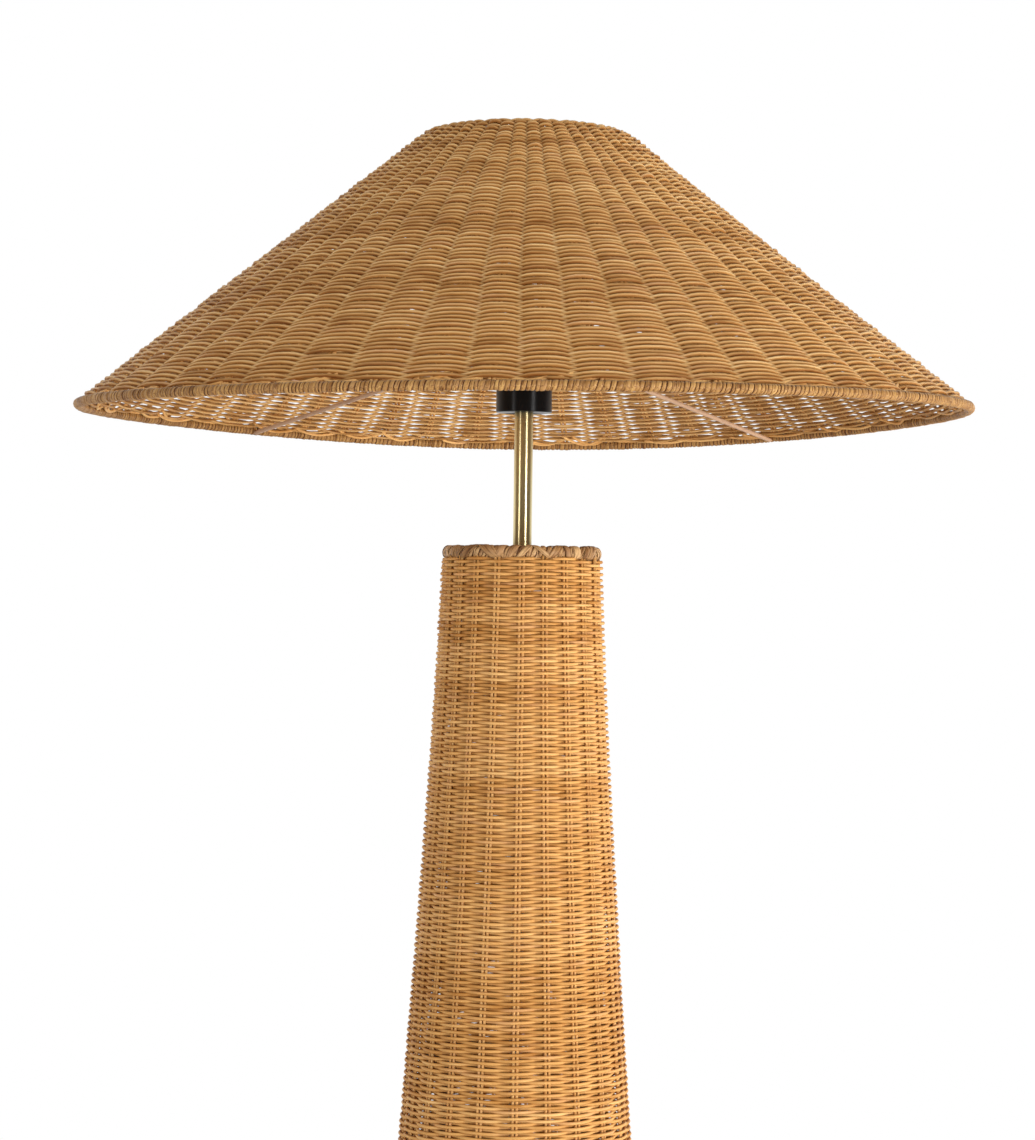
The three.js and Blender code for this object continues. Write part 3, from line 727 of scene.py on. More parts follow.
@dataclass
class Wall(ABC):
    """A woven wall of revolution with its strands and stakes."""

    stakes: int
    pitch: float
    strand: float
    stake: float
    pair: float
    start: float
    end: float
    seed: int
    steps: int = 6
    sides: int = 6
    first_gap: float = -TURN / 4
    spacing_spread: float = 0.05
    drift: float = 0.5 * MM
    row_spread: float = 0.3 * MM
    swell_spread: float = 0.12
    thickness_spread: float = 0.07
    near_thicker: float = 0.0
    flattening: float = 0.3
    squeeze: float = 0.94
    calm_edge: float = 12 * MM
    wander: float = 0.0
    wander_edge: float = 40 * MM
    wander_rates: tuple[float, float] = (24.0, 65.0)
    wander_second: float = 0.6
    wave_rates: tuple[float, ...] = (9.0, 16.0, 23.0, 30.0)
    tone_length: float = 2.6
    angles: Array = field(init=False)
    waves: Array = field(init=False)
    bends: Array = field(init=False)

    def __post_init__(self) -> None:
        """Draws the stakes' uneven spacing, the slow waves of the rows and the stakes' bends."""
        draw = np.random.default_rng(self.seed)
        widths = 1 + self.spacing_spread * draw.uniform(-1, 1, self.stakes)
        steps = np.concatenate([[0], np.cumsum(widths) / widths.sum()])
        self.angles = self.first_gap + TURN * steps
        self.waves = draw.uniform(0, TURN, (len(self.wave_rates), 3))
        self.bends = draw.uniform(0, TURN, (self.stakes, 2))

    @abstractmethod
    def line(self, s: Array) -> tuple[Array, Array]:
        """Radius and height of the wall's middle at s."""

    @abstractmethod
    def out(self, s: Array) -> tuple[Array, Array]:
        """Direction out of the wall at s, as its radial and upward parts."""

    def lift(self) -> float:
        """Distance of the strand's middle from the wall's middle at a stake."""
        return (self.strand * self.squeeze + self.stake) / 2

    def sag(self, angle: Array, s: Array) -> Array:
        """How far the wall lies above its true height: none here."""
        return np.zeros(np.broadcast(angle, s).shape)

    def angle(self, u: Array) -> Array:
        """Angle round the axis after u stakes. A gap, u = -1/2, lies at the first gap."""
        laps = np.floor((u + 0.5) / self.stakes)
        rest = u + 0.5 - laps * self.stakes
        return np.interp(rest, np.arange(self.stakes + 1), self.angles) + TURN * laps

    def stray(self, u: Array, s: Array) -> Array:
        """How far a stake strays sideways: two sines in s with its own phases, fading to the borders.

        Args:
            u: stakes passed; between two stakes their shifts are blended.
            s: place along the wall.

        Returns:
            The shift as an angle.
        """
        before = np.floor(u).astype(int)
        share = u - before

        def shift(stake: Array) -> Array:
            """The shift of one stake."""
            phases = self.bends[stake % self.stakes]
            slow, quick = self.wander_rates
            second = self.wander_second * np.sin(s * quick + phases[..., 1])
            return np.sin(s * slow + phases[..., 0]) + second

        blended = (1 - share) * shift(before) + share * shift(before + 1)
        held = np.minimum(s - self.start, self.end - s) / self.wander_edge
        radius, _ = self.line(s)
        return self.wander * blended * np.clip(held, 0, 1) / radius

    def sway(self, angle: Array, s: Array) -> Array:
        """Slow waves of the rows: a sum of sines in the angle and in s, at most the drift."""
        total = np.zeros(np.broadcast(angle, s).shape)
        for k, (rate, (a, b, c)) in enumerate(zip(self.wave_rates, self.waves), 1):
            total += np.sin(k * angle + a) * np.sin(s * rate + b) + np.sin((k + 1) * angle * 2 + c)
        return self.drift * total / len(self.waves)

    def place(self, angle: Array, s: Array, offset: Array | float) -> Array:
        """Points at an angle, at s along the wall, and at an offset out of it."""
        radius, height = self.line(s)
        out_r, out_z = self.out(s)
        return around(radius + offset * out_r, angle, height + offset * out_z + self.sag(angle, s))

    def outward(self, angle: Array, s: Array) -> Array:
        """Directions out of the wall."""
        out_r, out_z = self.out(s)
        return around(out_r, angle, out_z)

    def strands(self, name: str, finish: Finish, body: Body, parts: int, replaces: Sequence[str]) -> None:
        """The one long strand, cut into parts of as many rows.

        offset = lift * wave(cos(pi * u)), where wave(c) = c * (1 + flattening * (1 - c squared)), so it is
        outside at one stake and inside at the next, and with an odd number of stakes each row changes places
        with the row below.

        Args:
            name: start of each piece's name.
            finish: what the strands wear.
            body: the body that they ride on.
            parts: how many pieces.
            replaces: CAD nodes that the pieces stand for.
        """
        draw = np.random.default_rng(self.seed + 1)
        total = int((self.end - self.start) / self.pitch * self.stakes)
        swell = draw.normal(0, self.swell_spread, total + 2)
        slip = draw.normal(0, self.row_spread, total + 2)
        thick = draw.normal(0, self.thickness_spread, total + 2)
        hue = draw.uniform(0, 1, total + 2)
        for part in range(parts):
            first, last = total * part // parts, total * (part + 1) // parts
            u = np.linspace(first, last, (last - first) * self.steps + 1)
            knots = np.arange(total + 2)
            s = self.start + self.pitch * u / self.stakes
            angle = self.angle(u) + self.stray(u, s)
            s = s + self.sway(angle % TURN, s) * self.calm(s) + np.interp(u, knots, slip)
            wave = np.cos(math.pi * u)
            wave = wave * (1 + self.flattening * (1 - wave**2))
            offset = self.lift() * wave * (1 + np.interp(u, knots, swell))
            path = self.place(angle, s, offset)[None]
            facing = 1 - self.near_thicker * np.sin(angle)
            radius = self.strand / 2 * (1 + np.interp(u, knots, thick)) * facing
            run = np.cumsum(np.linalg.norm(np.diff(path[0], axis=0, prepend=path[0, :1]), axis=-1))
            lot = hue[(first + run / self.tone_length).astype(int) % len(hue)]
            outward = self.outward(angle, s)[None]
            made = tubes(path, outward, radius[None], self.sides, lot[None], self.squeeze)
            made.cane[:, 0] += first
            made.piece(f"{name}_{part + 1}", finish, body, replaces)

    def calm(self, s: Array) -> Array:
        """Share of the rows' waves at s: none at either end, where a border holds the rows."""
        from_start = np.clip((s - self.start) / self.calm_edge, 0, 1)
        return from_start * np.clip((self.end - s) / self.calm_edge, 0, 1)

    def stake_paths(self, low: float, high: float, count: int) -> tuple[Array, Array, Array]:
        """Angles, places along the wall and outward directions of all stakes, two by two.

        Args:
            low: s of their lower ends.
            high: s of their upper ends.
            count: points along a stake.

        Returns:
            Arrays of (stakes * 2, count) angles and s, and (stakes * 2, count, 3) directions.
        """
        s = np.broadcast_to(np.linspace(low, high, count), (self.stakes * 2, count))
        stake = np.repeat(np.arange(self.stakes), 2)[:, None]
        side = np.tile([-0.5, 0.5], self.stakes)[:, None] * self.pair
        radius, _ = self.line(s)
        angle = self.angle(stake) + side / radius + self.stray(stake + 0 * s, s)
        return angle, s, self.outward(angle, s)


@dataclass(frozen=True)
class Spring:
    """One wave of the sprung rim: its height, how often it goes round, and its crest in degrees from +X."""

    height: float
    rounds: int
    crest: float

    def lift(self, angle: Array) -> Array:
        """The height times the cosine of the rounds of the angle past the crest."""
        return self.height * np.cos(self.rounds * (angle - math.radians(self.crest)))


@dataclass
class ShadeWall(Wall):
    """The cone between the rim ring and the top ring; s runs up from the rim ring's middle."""

    rim: tuple[float, float] = (0.0, 0.0)
    top: tuple[float, float] = (0.0, 0.0)
    springs: tuple[Spring, ...] = (
        Spring(2.4 * MM, 1, -6.0), Spring(4.1 * MM, 2, -8.0), Spring(1.2 * MM, 3, 25.0),
    )

    def length(self) -> float:
        """Distance between the two rings along the wall."""
        return math.dist(self.rim, self.top)

    def along(self) -> tuple[float, float]:
        """Direction up the wall, as its radial and upward parts."""
        length = self.length()
        return (self.top[0] - self.rim[0]) / length, (self.top[1] - self.rim[1]) / length

    def line(self, s: Array) -> tuple[Array, Array]:
        """A straight line from ring to ring."""
        inward, up = self.along()
        return self.rim[0] + s * inward, self.rim[1] + s * up

    def out(self, s: Array) -> tuple[Array, Array]:
        """Square to that line."""
        inward, up = self.along()
        return np.full(np.shape(s), up), np.full(np.shape(s), -inward)

    def sag(self, angle: Array, s: Array) -> Array:
        """The rim's waves added up, times the square of the share of the way down from the top ring."""
        past_rim = 1.1
        rim = sum(spring.lift(angle) for spring in self.springs)
        return rim * np.clip(1 - s / self.length(), 0, past_rim) ** 2


@dataclass
class ColumnWall(Wall):
    """The flaring column; s is the height."""

    height: float = 1.17
    top_width: float = 125 * MM
    foot_width: float = 300 * MM
    flare: float = 1.2
    thickness: float = 7 * MM

    def line(self, s: Array) -> tuple[Array, Array]:
        """outer radius = (top + (foot - top) * share below the top ** flare) / 2, less half the wall."""
        share = np.clip((self.height - s) / self.height, 0, 1)
        outer = (self.top_width + (self.foot_width - self.top_width) * share**self.flare) / 2
        return outer - self.thickness / 2, s

    def out(self, s: Array) -> tuple[Array, Array]:
        """Level."""
        return np.ones(np.shape(s)), np.zeros(np.shape(s))


@dataclass
class Binding:
    """Cane wound round a ring. The strip is a helix, and the grid follows its edges."""

    radius: float
    middle: float
    half_width: float
    half_height: float
    wraps: int
    seed: int
    strip: tuple[float, ...] = (0.0, 0.07, 0.15, 0.35, 0.6, 0.85, 0.93)
    painted_groove_width: float = 0.075
    sides: int = 12
    crown: float = 0.6 * MM
    lift_spread: float = 0.14 * MM
    width_spread: float = 0.4
    lean: float = 0.06
    lean_spread: float = 0.5
    boxiness: float = 2.2
    crown_power: int = 3
    painted_groove_strength: float = 1.8
    painted_groove_power: float = 1.5
    sag: Callable[[Array], Array] = np.zeros_like

    def surface(self) -> Surface:
        """Section radius = ellipse + crown over the strip's width + the wrap's own lift.

        Returns:
            The wound surface, closed both ways.
        """
        draw = np.random.default_rng(self.seed)
        widths = 1 + self.width_spread * draw.uniform(-1, 1, self.wraps)
        edges = np.concatenate([[0], np.cumsum(widths) / widths.sum()]) * TURN
        lifts = draw.normal(0, self.lift_spread, self.wraps)
        leans = self.lean * (1 + self.lean_spread * draw.normal(0, 1, self.wraps))
        hues = draw.uniform(0, 1, self.wraps)
        steps = len(self.strip)
        column = np.arange(self.wraps * steps)
        wrap = column // steps
        share = np.array(self.strip)[column % steps]
        section = round_turn(self.sides).T
        turn = section / TURN
        ahead = (wrap + 1) % self.wraps

        def blended(values: Array) -> Array:
            """Each wrap's value, moving on to the next wrap's in one turn round the section."""
            return values[wrap][:, None] * (1 - turn) + values[ahead][:, None] * turn

        index = wrap[:, None] + share[:, None] + turn + blended(leans) * np.sin(section)
        laps = np.floor(index / self.wraps)
        angle = np.interp(index - laps * self.wraps, np.arange(self.wraps + 1), edges)
        swell = self.crown * (1 - np.abs(2 * share - 1) ** self.crown_power)[:, None] + blended(lifts)
        # Painted shadow: the edges of each wrap get a negative tone of random strength, which the cane
        # finish darkens as shade in the groove between wraps.
        painted_groove = -self.painted_groove_strength * draw.uniform(0, 1, self.wraps) ** self.painted_groove_power
        in_painted_groove = np.minimum(share, 1 - share)[:, None] < self.painted_groove_width
        shade = np.where(in_painted_groove, blended(painted_groove), blended(hues))
        cos, sin = np.cos(section), np.sin(section)
        power = 2 / self.boxiness
        across = np.sign(cos) * np.abs(cos) ** power
        upward = np.sign(sin) * np.abs(sin) ** power
        reach = self.radius + (self.half_width - self.crown + swell) * across
        height = self.middle + (self.half_height - self.crown + swell) * upward + self.sag(angle)
        girth = TURN * (self.half_width + self.half_height) / 2
        width = TURN * self.radius / self.wraps
        apart = 3 * MM
        cane = np.stack(
            [
                (wrap[:, None] + turn) * girth,
                np.broadcast_to(share[:, None] * width, angle.shape),
                np.broadcast_to(wrap[:, None] * apart, angle.shape),
            ],
            axis=-1,
        )
        return Surface(
            points=around(reach, angle, height).reshape(-1, 3),
            quads=wrapped_quads(self.wraps * steps, self.sides, steps),
            cane=cane.reshape(-1, 3),
            tone=shade.reshape(-1),
        )


@dataclass
class Laps:
    """Broad strips of cane laid over a border, each with its own place, slant, width and height."""

    radius: float
    middle: float
    half_width: float
    half_height: float
    count: int
    seed: int
    narrow: float = 3 * MM
    broad: float = 8 * MM
    slant: float = 1.1
    squeeze: float = 0.2
    layer: float = 0.7 * MM
    steps: int = 16
    start: float = 215.0
    end: float = -75.0
    tuck_length: float = 0.12
    tuck_depth: float = 1.2 * MM
    taper: float = 0.35
    foot_spread: float = 0.12
    place_spread: float = 0.4
    curl: float = 0.25
    broad_power: float = 1.5
    sag: Callable[[Array], Array] = np.zeros_like

    def surface(self) -> Surface:
        """A strip runs over the section from its inner foot to its outer foot, and tucks in at both ends.

        place = (radius + half width * cos b, middle + half height * sin b), at an angle round the ring
        that moves on by the slant while b runs from start to end.

        Returns:
            All the strips as one surface.
        """
        draw = np.random.default_rng(self.seed)
        count = self.count
        share = np.linspace(0, 1, self.steps)[None]
        sweep = np.radians(self.start + (self.end - self.start) * share)
        b = sweep + draw.normal(0, self.foot_spread, (count, 1))
        shifts = draw.uniform(-self.place_spread, self.place_spread, count)
        places = (np.arange(count) + shifts) / count * TURN
        girth = math.pi * (self.half_width + self.half_height)
        slant = self.slant * draw.uniform(-1, 1, (count, 1)) * girth / self.radius
        curl = draw.normal(0, self.curl, (count, 1)) * girth / self.radius
        angle = places[:, None] + slant * (share - 0.5) + curl * (share - 0.5) ** 2
        tuck = np.clip(1 - np.minimum(share, 1 - share) / self.tuck_length, 0, 1)
        lift = draw.uniform(0, self.layer, (count, 1)) - self.tuck_depth * tuck
        reach = self.radius + (self.half_width + lift) * np.cos(b)
        height = self.middle + (self.half_height + lift) * np.sin(b) + self.sag(angle)
        outward = around(np.cos(b), angle, np.sin(b))
        fullness = draw.uniform(0, 1, (count, 1)) ** self.broad_power
        width = self.narrow + (self.broad - self.narrow) * fullness
        taper = 1 - self.taper * np.abs(2 * share - 1) ** 2
        tone = np.broadcast_to(draw.uniform(0, 1, (count, 1)), angle.shape)
        return tubes(around(reach, angle, height), outward, width / 2 * taper, 8, tone, self.squeeze)


def ring_of(node: str) -> tuple[float, float, float]:
    """Middle radius, middle height and half thickness of a CAD ring, read from its box."""
    low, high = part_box(node)
    half = (high.z - low.z) / 2
    return high.x - half, (high.z + low.z) / 2, half


# Sub-assemblies


@dataclass
class Shade:
    """Woven cone on its wire frame."""

    stakes: int = 53
    pitch: float = 2.35 * MM
    strand: float = 2.53 * MM
    stake: float = 2.4 * MM
    pair: float = 2.9 * MM
    first_gap: float = -92.6
    weave_start: float = 4.7 * MM
    weave_parts: int = 4
    rim_wire: float = 4.5 * MM
    binding: float = 7.6 * MM
    binding_wraps: int = 620
    border_share: float = 0.7
    inner_ends: float = 0.4
    strut: float = 3.6 * MM
    strut_drop: float = 51.6 * MM
    strut_turn: float = 48.8
    strut_end_drop: float = 2.4 * MM
    end_rise: tuple[float, float] = (2 * MM, 12 * MM)
    end_reach: tuple[float, float] = (0.7, 1.5)
    end_depth: tuple[float, float] = (0.6, 1.1)
    outer_depth: float = 0.4
    end_thickness: float = 0.95
    hub_bore: float = 20 * MM
    wall: ShadeWall = field(init=False)

    def __post_init__(self) -> None:
        """Reads the rings' places from the frame."""
        rim_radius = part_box("shade_rim_ring")[1].x - self.rim_wire / 2
        _, hub_middle, _ = ring_of("shade_hub_ring")
        rim_middle = hub_middle - self.strut_drop
        top_radius, top_middle, top_half = ring_of("shade_top_border")
        length = math.dist((rim_radius, rim_middle), (top_radius, top_middle))
        self.wall = ShadeWall(
            stakes=self.stakes,
            pitch=self.pitch,
            strand=self.strand,
            stake=self.stake,
            pair=self.pair,
            start=self.weave_start,
            end=length - top_half * self.border_share - self.strand / 2,
            seed=11,
            squeeze=1.0,
            row_spread=0.17 * MM,
            swell_spread=0.16,
            thickness_spread=0.05,
            near_thicker=0.18,
            flattening=0.4,
            spacing_spread=0.13,
            wander=1.3 * MM,
            drift=0.9 * MM,
            first_gap=math.radians(self.first_gap),
            rim=(rim_radius, rim_middle),
            top=(top_radius, top_middle),
        )

    def build(self) -> None:
        """Makes every piece that turns with the shade."""
        self.weave()
        self.bent_ends()
        self.rim()
        self.top_border()
        self.wires()
        self.hub()

    def weave(self) -> None:
        """Strands, and the stake pairs from the bent ends up to the top border."""
        self.wall.strands("shade_weave", SHADE_STRAND, Body.SHADE, self.weave_parts, ["shade_weave"])
        angle, s, outward = self.wall.stake_paths(self.weave_start, self.wall.length(), 10)
        rods = tubes(self.wall.place(angle, s, 0.0), outward, self.stake / 2, 8, tones(angle, 21))
        rods.piece("shade_stakes", STAKE, Body.SHADE)

    def bent_ends(self) -> None:
        """Lower ends of the stakes: each swings down to the binding and up again beside the next pair.

        For q from 0 to 1, the angle moves on by about a spacing, s falls and rises as a power of 2q - 1, and
        the rod slips to the inner or the outer face of the wall.
        """
        wall = self.wall
        draw = np.random.default_rng(24)
        steps, swing_power, slip_rate = 18, 1.9, 1.6
        each = (2 * self.stakes, 1)
        q = np.linspace(0, 1, steps)[None]
        side = np.tile([-1.0, 1.0], self.stakes)[:, None]
        face = np.where(draw.uniform(0, 1, each) < self.inner_ends, -1.0, 1.0)
        middle = wall.angle(np.repeat(np.arange(self.stakes), 2))[:, None]
        rise = draw.uniform(*self.end_rise, each)
        reach = draw.uniform(*self.end_reach, each) * TURN / self.stakes
        s = self.binding / 2 + rise * np.abs(2 * q - 1) ** swing_power
        radius, _ = wall.line(s)
        angle = middle + side * self.pair / 2 / radius * (1 - 2 * q) + reach * q
        depth = draw.uniform(*self.end_depth, each) * wall.lift() * np.where(face < 0, 1.0, self.outer_depth)
        offset = face * depth * np.sin(np.clip(q * slip_rate, 0, 1) * math.pi / 2) + 0 * angle
        path = wall.place(angle, s, offset)
        thickness = self.stake * self.end_thickness
        ends = tubes(path, wall.outward(angle, s), thickness / 2, 8, tones(angle, 22))
        ends.piece("shade_stake_ends", STAKE, Body.SHADE)

    def rim(self) -> None:
        """Wound binding over the rim wire, with broad laps where strips of cane join."""
        wall = self.wall
        radius, middle = wall.rim
        half = self.binding / 2

        def sag(angle: Array) -> Array:
            """The rim's own bend."""
            return wall.sag(angle, np.zeros(np.shape(angle)))

        wound = Binding(radius, middle, half, half, self.binding_wraps, seed=31, sag=sag)
        wound.surface().stand_in("shade_rim_binding", PEEL, Body.SHADE)
        under = half - 0.25 * MM
        laps = Laps(
            radius, middle, under, under, 24, seed=32, narrow=2.2 * MM, broad=4.5 * MM,
            slant=0.25, squeeze=0.16, layer=0.2 * MM, start=170.0, end=-165.0, sag=sag,
        )
        laps.surface().piece("shade_rim_laps", PEEL, Body.SHADE)
        hoop(radius, middle, self.rim_wire / 2, 240, sag).stand_in("shade_rim_ring", WIRE, Body.SHADE)

    def top_border(self) -> None:
        """Strands twisted round the top ring, a half turn for every stake pair, over the ring wire.

        One strand goes round twice, and its second lap lies opposite its first.
        """
        wall = self.wall
        draw = np.random.default_rng(25)
        _, _, half = ring_of("shade_top_border")
        steps, late_spread, fat_spread = 8, 0.16, 0.07
        thick, outset, wire_share = 1.25, 0.3, 0.45
        turns = 2 * self.stakes
        knots = np.arange(turns + 1)
        late = draw.normal(0, late_spread, len(knots))
        late[-1] = late[0]
        fat = draw.normal(0, fat_spread, len(knots))
        fat[-1] = fat[0]
        u = np.linspace(0, turns, turns * steps + 1)
        angle = wall.angle(u)
        phase = math.pi * (u + np.interp(u, knots, late))
        thickness = half * thick * (1 + np.interp(u, knots, fat))
        reach = half - thickness / 2
        s = wall.length() - reach * np.cos(phase)
        path = wall.place(angle, s, reach * np.sin(phase) + outset * reach)[None]
        made = tubes(path, wall.outward(angle, s)[None], thickness[None] / 2, 10, tones(angle[None], 23))
        made.stand_in("shade_top_border", SHADE_STRAND, Body.SHADE)
        _, middle = wall.top
        wire, _, _ = ring_of("shade_top_ring")
        hoop(wire, middle, half * wire_share, 160).stand_in("shade_top_ring", WIRE, Body.SHADE)

    def wires(self) -> None:
        """Raked wires with rounded ends: the radius follows a quarter circle over the last half width."""
        low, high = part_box("shade_hub_ring")
        rim_radius, rim_middle = self.wall.rim
        turn, half = self.strut_turn, self.strut / 2
        hub_bite, rim_bite, blunt = 1.0 * MM, 0.45 * self.rim_wire, 0.97
        share = np.concatenate([[0, 0.004, 0.01], np.linspace(0.02, 0.985, 20), [0.99, 0.995, 0.998, 1.0]])
        start = (high.x - hub_bite, (low.z + high.z) / 2)
        for i, angle in enumerate(map(math.radians, (turn, 180 - turn, 180 + turn, -turn)), 1):
            bend = float(self.wall.sag(np.array(angle), np.array(0.0)))
            end = (rim_radius - rim_bite, rim_middle - self.strut_end_drop + bend)
            to_end = np.minimum(share, 1 - share) * math.dist(start, end) / half
            radius = half * np.sqrt(1 - np.clip(1 - to_end, 0, blunt) ** 2)
            reach, height = (a + (b - a) * share for a, b in zip(start, end))
            path = around(reach, np.array(angle), height)
            upward = np.broadcast_to([0.0, 0.0, 1.0], path.shape)
            made = tubes(path[None], upward[None], radius[None], 14, np.zeros((1, len(share))))
            made.stand_in(f"shade_strut_{i}", WIRE, Body.SHADE)

    def hub(self) -> None:
        """Flat ring of the wire frame, with softened edges."""
        low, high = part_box("shade_hub_ring")
        inner, edge = self.hub_bore, 0.5 * MM
        outline = rounded([
            (inner, low.z, edge), (high.x, low.z, edge), (high.x, high.z, edge), (inner, high.z, edge),
        ])
        lathe(outline).stand_in("shade_hub_ring", WIRE, Body.SHADE)


def hoop(
    radius: float, middle: float, half: float, facets: int, sag: Callable[[Array], Array] = np.zeros_like
) -> Surface:
    """A round wire bent to a ring: point = ring + half * (cos b outwards + sin b upwards).

    Args:
        radius: of the ring.
        middle: its height.
        half: half of the wire's thickness.
        facets: steps round the ring.
        sag: the ring's own bend, by the angle.

    Returns:
        The ring.
    """
    angle, section = round_turn(facets), round_turn(12).T
    height = middle + half * np.sin(section) + sag(angle)
    return ring_grid(around(radius + half * np.cos(section), angle, height))


def tones(like: Array, seed: int) -> Array:
    """One shade of cane for each row of an array of points."""
    draw = np.random.default_rng(seed)
    return np.broadcast_to(draw.uniform(0, 1, like.shape[0])[:, None], like.shape)


@dataclass
class Column:
    """Woven column with its borders, and the steel frame and weight in it."""

    stakes: int = 21
    pitch: float = 2.335 * MM
    strand: float = 2.74 * MM
    stake: float = 2.2 * MM
    pair: float = 2.9 * MM
    weave_parts: int = 5
    border_inset: float = 1.2 * MM
    stake_top: float = 3 * MM
    wall: ColumnWall = field(init=False)

    def __post_init__(self) -> None:
        """Reads the weave's ends from the frame."""
        low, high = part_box("column_weave")
        self.wall = ColumnWall(
            stakes=self.stakes,
            pitch=self.pitch,
            strand=self.strand,
            stake=self.stake,
            pair=self.pair,
            start=low.z + self.strand / 2,
            end=high.z + self.strand / 2,
            seed=5,
            first_gap=TURN / 4,
            row_spread=0.13 * MM,
            swell_spread=0.08,
            thickness_spread=0.05,
            spacing_spread=0.1,
            height=high.z,
        )

    def build(self) -> None:
        """Makes the woven pieces and dresses the inner ones."""
        wall = self.wall
        wall.strands("column_weave", STRAND, Body.STAND, self.weave_parts, ["column_weave"])
        angle, s, outward = wall.stake_paths(wall.start, wall.end + self.stake_top, 40)
        rods = tubes(wall.place(angle, s, 0.0), outward, self.stake / 2, 8, tones(angle, 51))
        rods.piece("column_stakes", STAKE, Body.STAND)
        self.border("column_top_border", 120, 62, seed=61, half_width=4.3 * MM, sides=20)
        self.border("column_foot_border", 300, 110, seed=62, half_width=wall.thickness / 2, sides=14)
        self.outlet()
        dress(DISC, "column_disc")
        dress(FELT, "felt_pad")
        dress(DARK_STEEL, "ballast_plate", *(f"frame_rod_{i}" for i in range(1, 5)))
        dress(DARK_STEEL, *(f"frame_{place}_ring" for place in ("foot", "lower", "upper", "top")))
        dress(ZINC, "centre_pipe", "base_washer", "base_nut", "disc_washer", "disc_nut", "cup_nut")

    def border(self, name: str, wraps: int, laps: int, seed: int, half_width: float, sides: int) -> None:
        """A wound border under broad, uneven laps.

        Args:
            name: the CAD node that it stands for.
            wraps: turns of the strip below.
            laps: broad strips above.
            seed: of the draws.
            half_width: half of the border's width.
            sides: faces round the strip below.
        """
        low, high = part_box(name)
        radius = high.x - self.border_inset - half_width
        middle, half_height = (low.z + high.z) / 2, (high.z - low.z) / 2
        under = 0.5 * MM
        wound = Binding(
            radius, middle, half_width - under, half_height - under, wraps, seed, sides=sides,
            crown=0.6 * MM, lift_spread=0.15 * MM, width_spread=0.7, lean=0.5, boxiness=2.6,
        )
        wound.surface().stand_in(name, COIL, Body.STAND)
        over = Laps(radius, middle, half_width - under, half_height - under, laps, seed + 10)
        over.surface().piece(name + "_laps", COIL, Body.STAND)

    def outlet(self) -> None:
        """Sleeve and flange of the cable outlet, turned about Z and laid along Y."""
        low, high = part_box("cable_outlet")
        bore, sleeve, flange, plate, edge = 3.75 * MM, 6 * MM, 8.5 * MM, 2 * MM, 0.7 * MM
        outline = rounded([
            (bore, low.y, edge / 2), (sleeve, low.y, edge / 2), (sleeve, high.y - plate, 0),
            (flange, high.y - plate, edge / 2), (flange, high.y, edge), (bore, high.y, edge),
        ])
        made = lathe(outline, 48)
        x, y, z = made.points.T
        made.points = np.stack([x, z, (low.z + high.z) / 2 - y], axis=-1)
        made.stand_in("cable_outlet", BLACK, Body.STAND)


@dataclass
class Stem:
    """Brass tube and its washer."""

    wall: float = 1 * MM
    bore: float = PIPE_BORE
    edge: float = 0.3 * MM
    washer_edge: float = 0.8 * MM

    def build(self) -> None:
        """Turns both with softened edges."""
        _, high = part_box("stem_tube")
        self.turned("stem_tube", high.x - self.wall, self.edge)
        self.turned("stem_washer", self.bore, self.washer_edge)

    def turned(self, node: str, inner: float, top_edge: float) -> None:
        """A ring or tube with a softened outer edge below and above.

        Args:
            node: the CAD node that it stands for, whose box gives its size.
            inner: radius of its bore.
            top_edge: fillet of its upper outer edge.
        """
        low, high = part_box(node)
        outline = rounded([
            (inner, low.z, 0), (high.x, low.z, self.edge), (high.x, high.z, top_edge), (inner, high.z, 0),
        ])
        lathe(outline, 128).stand_in(node, BRASS, Body.STAND)


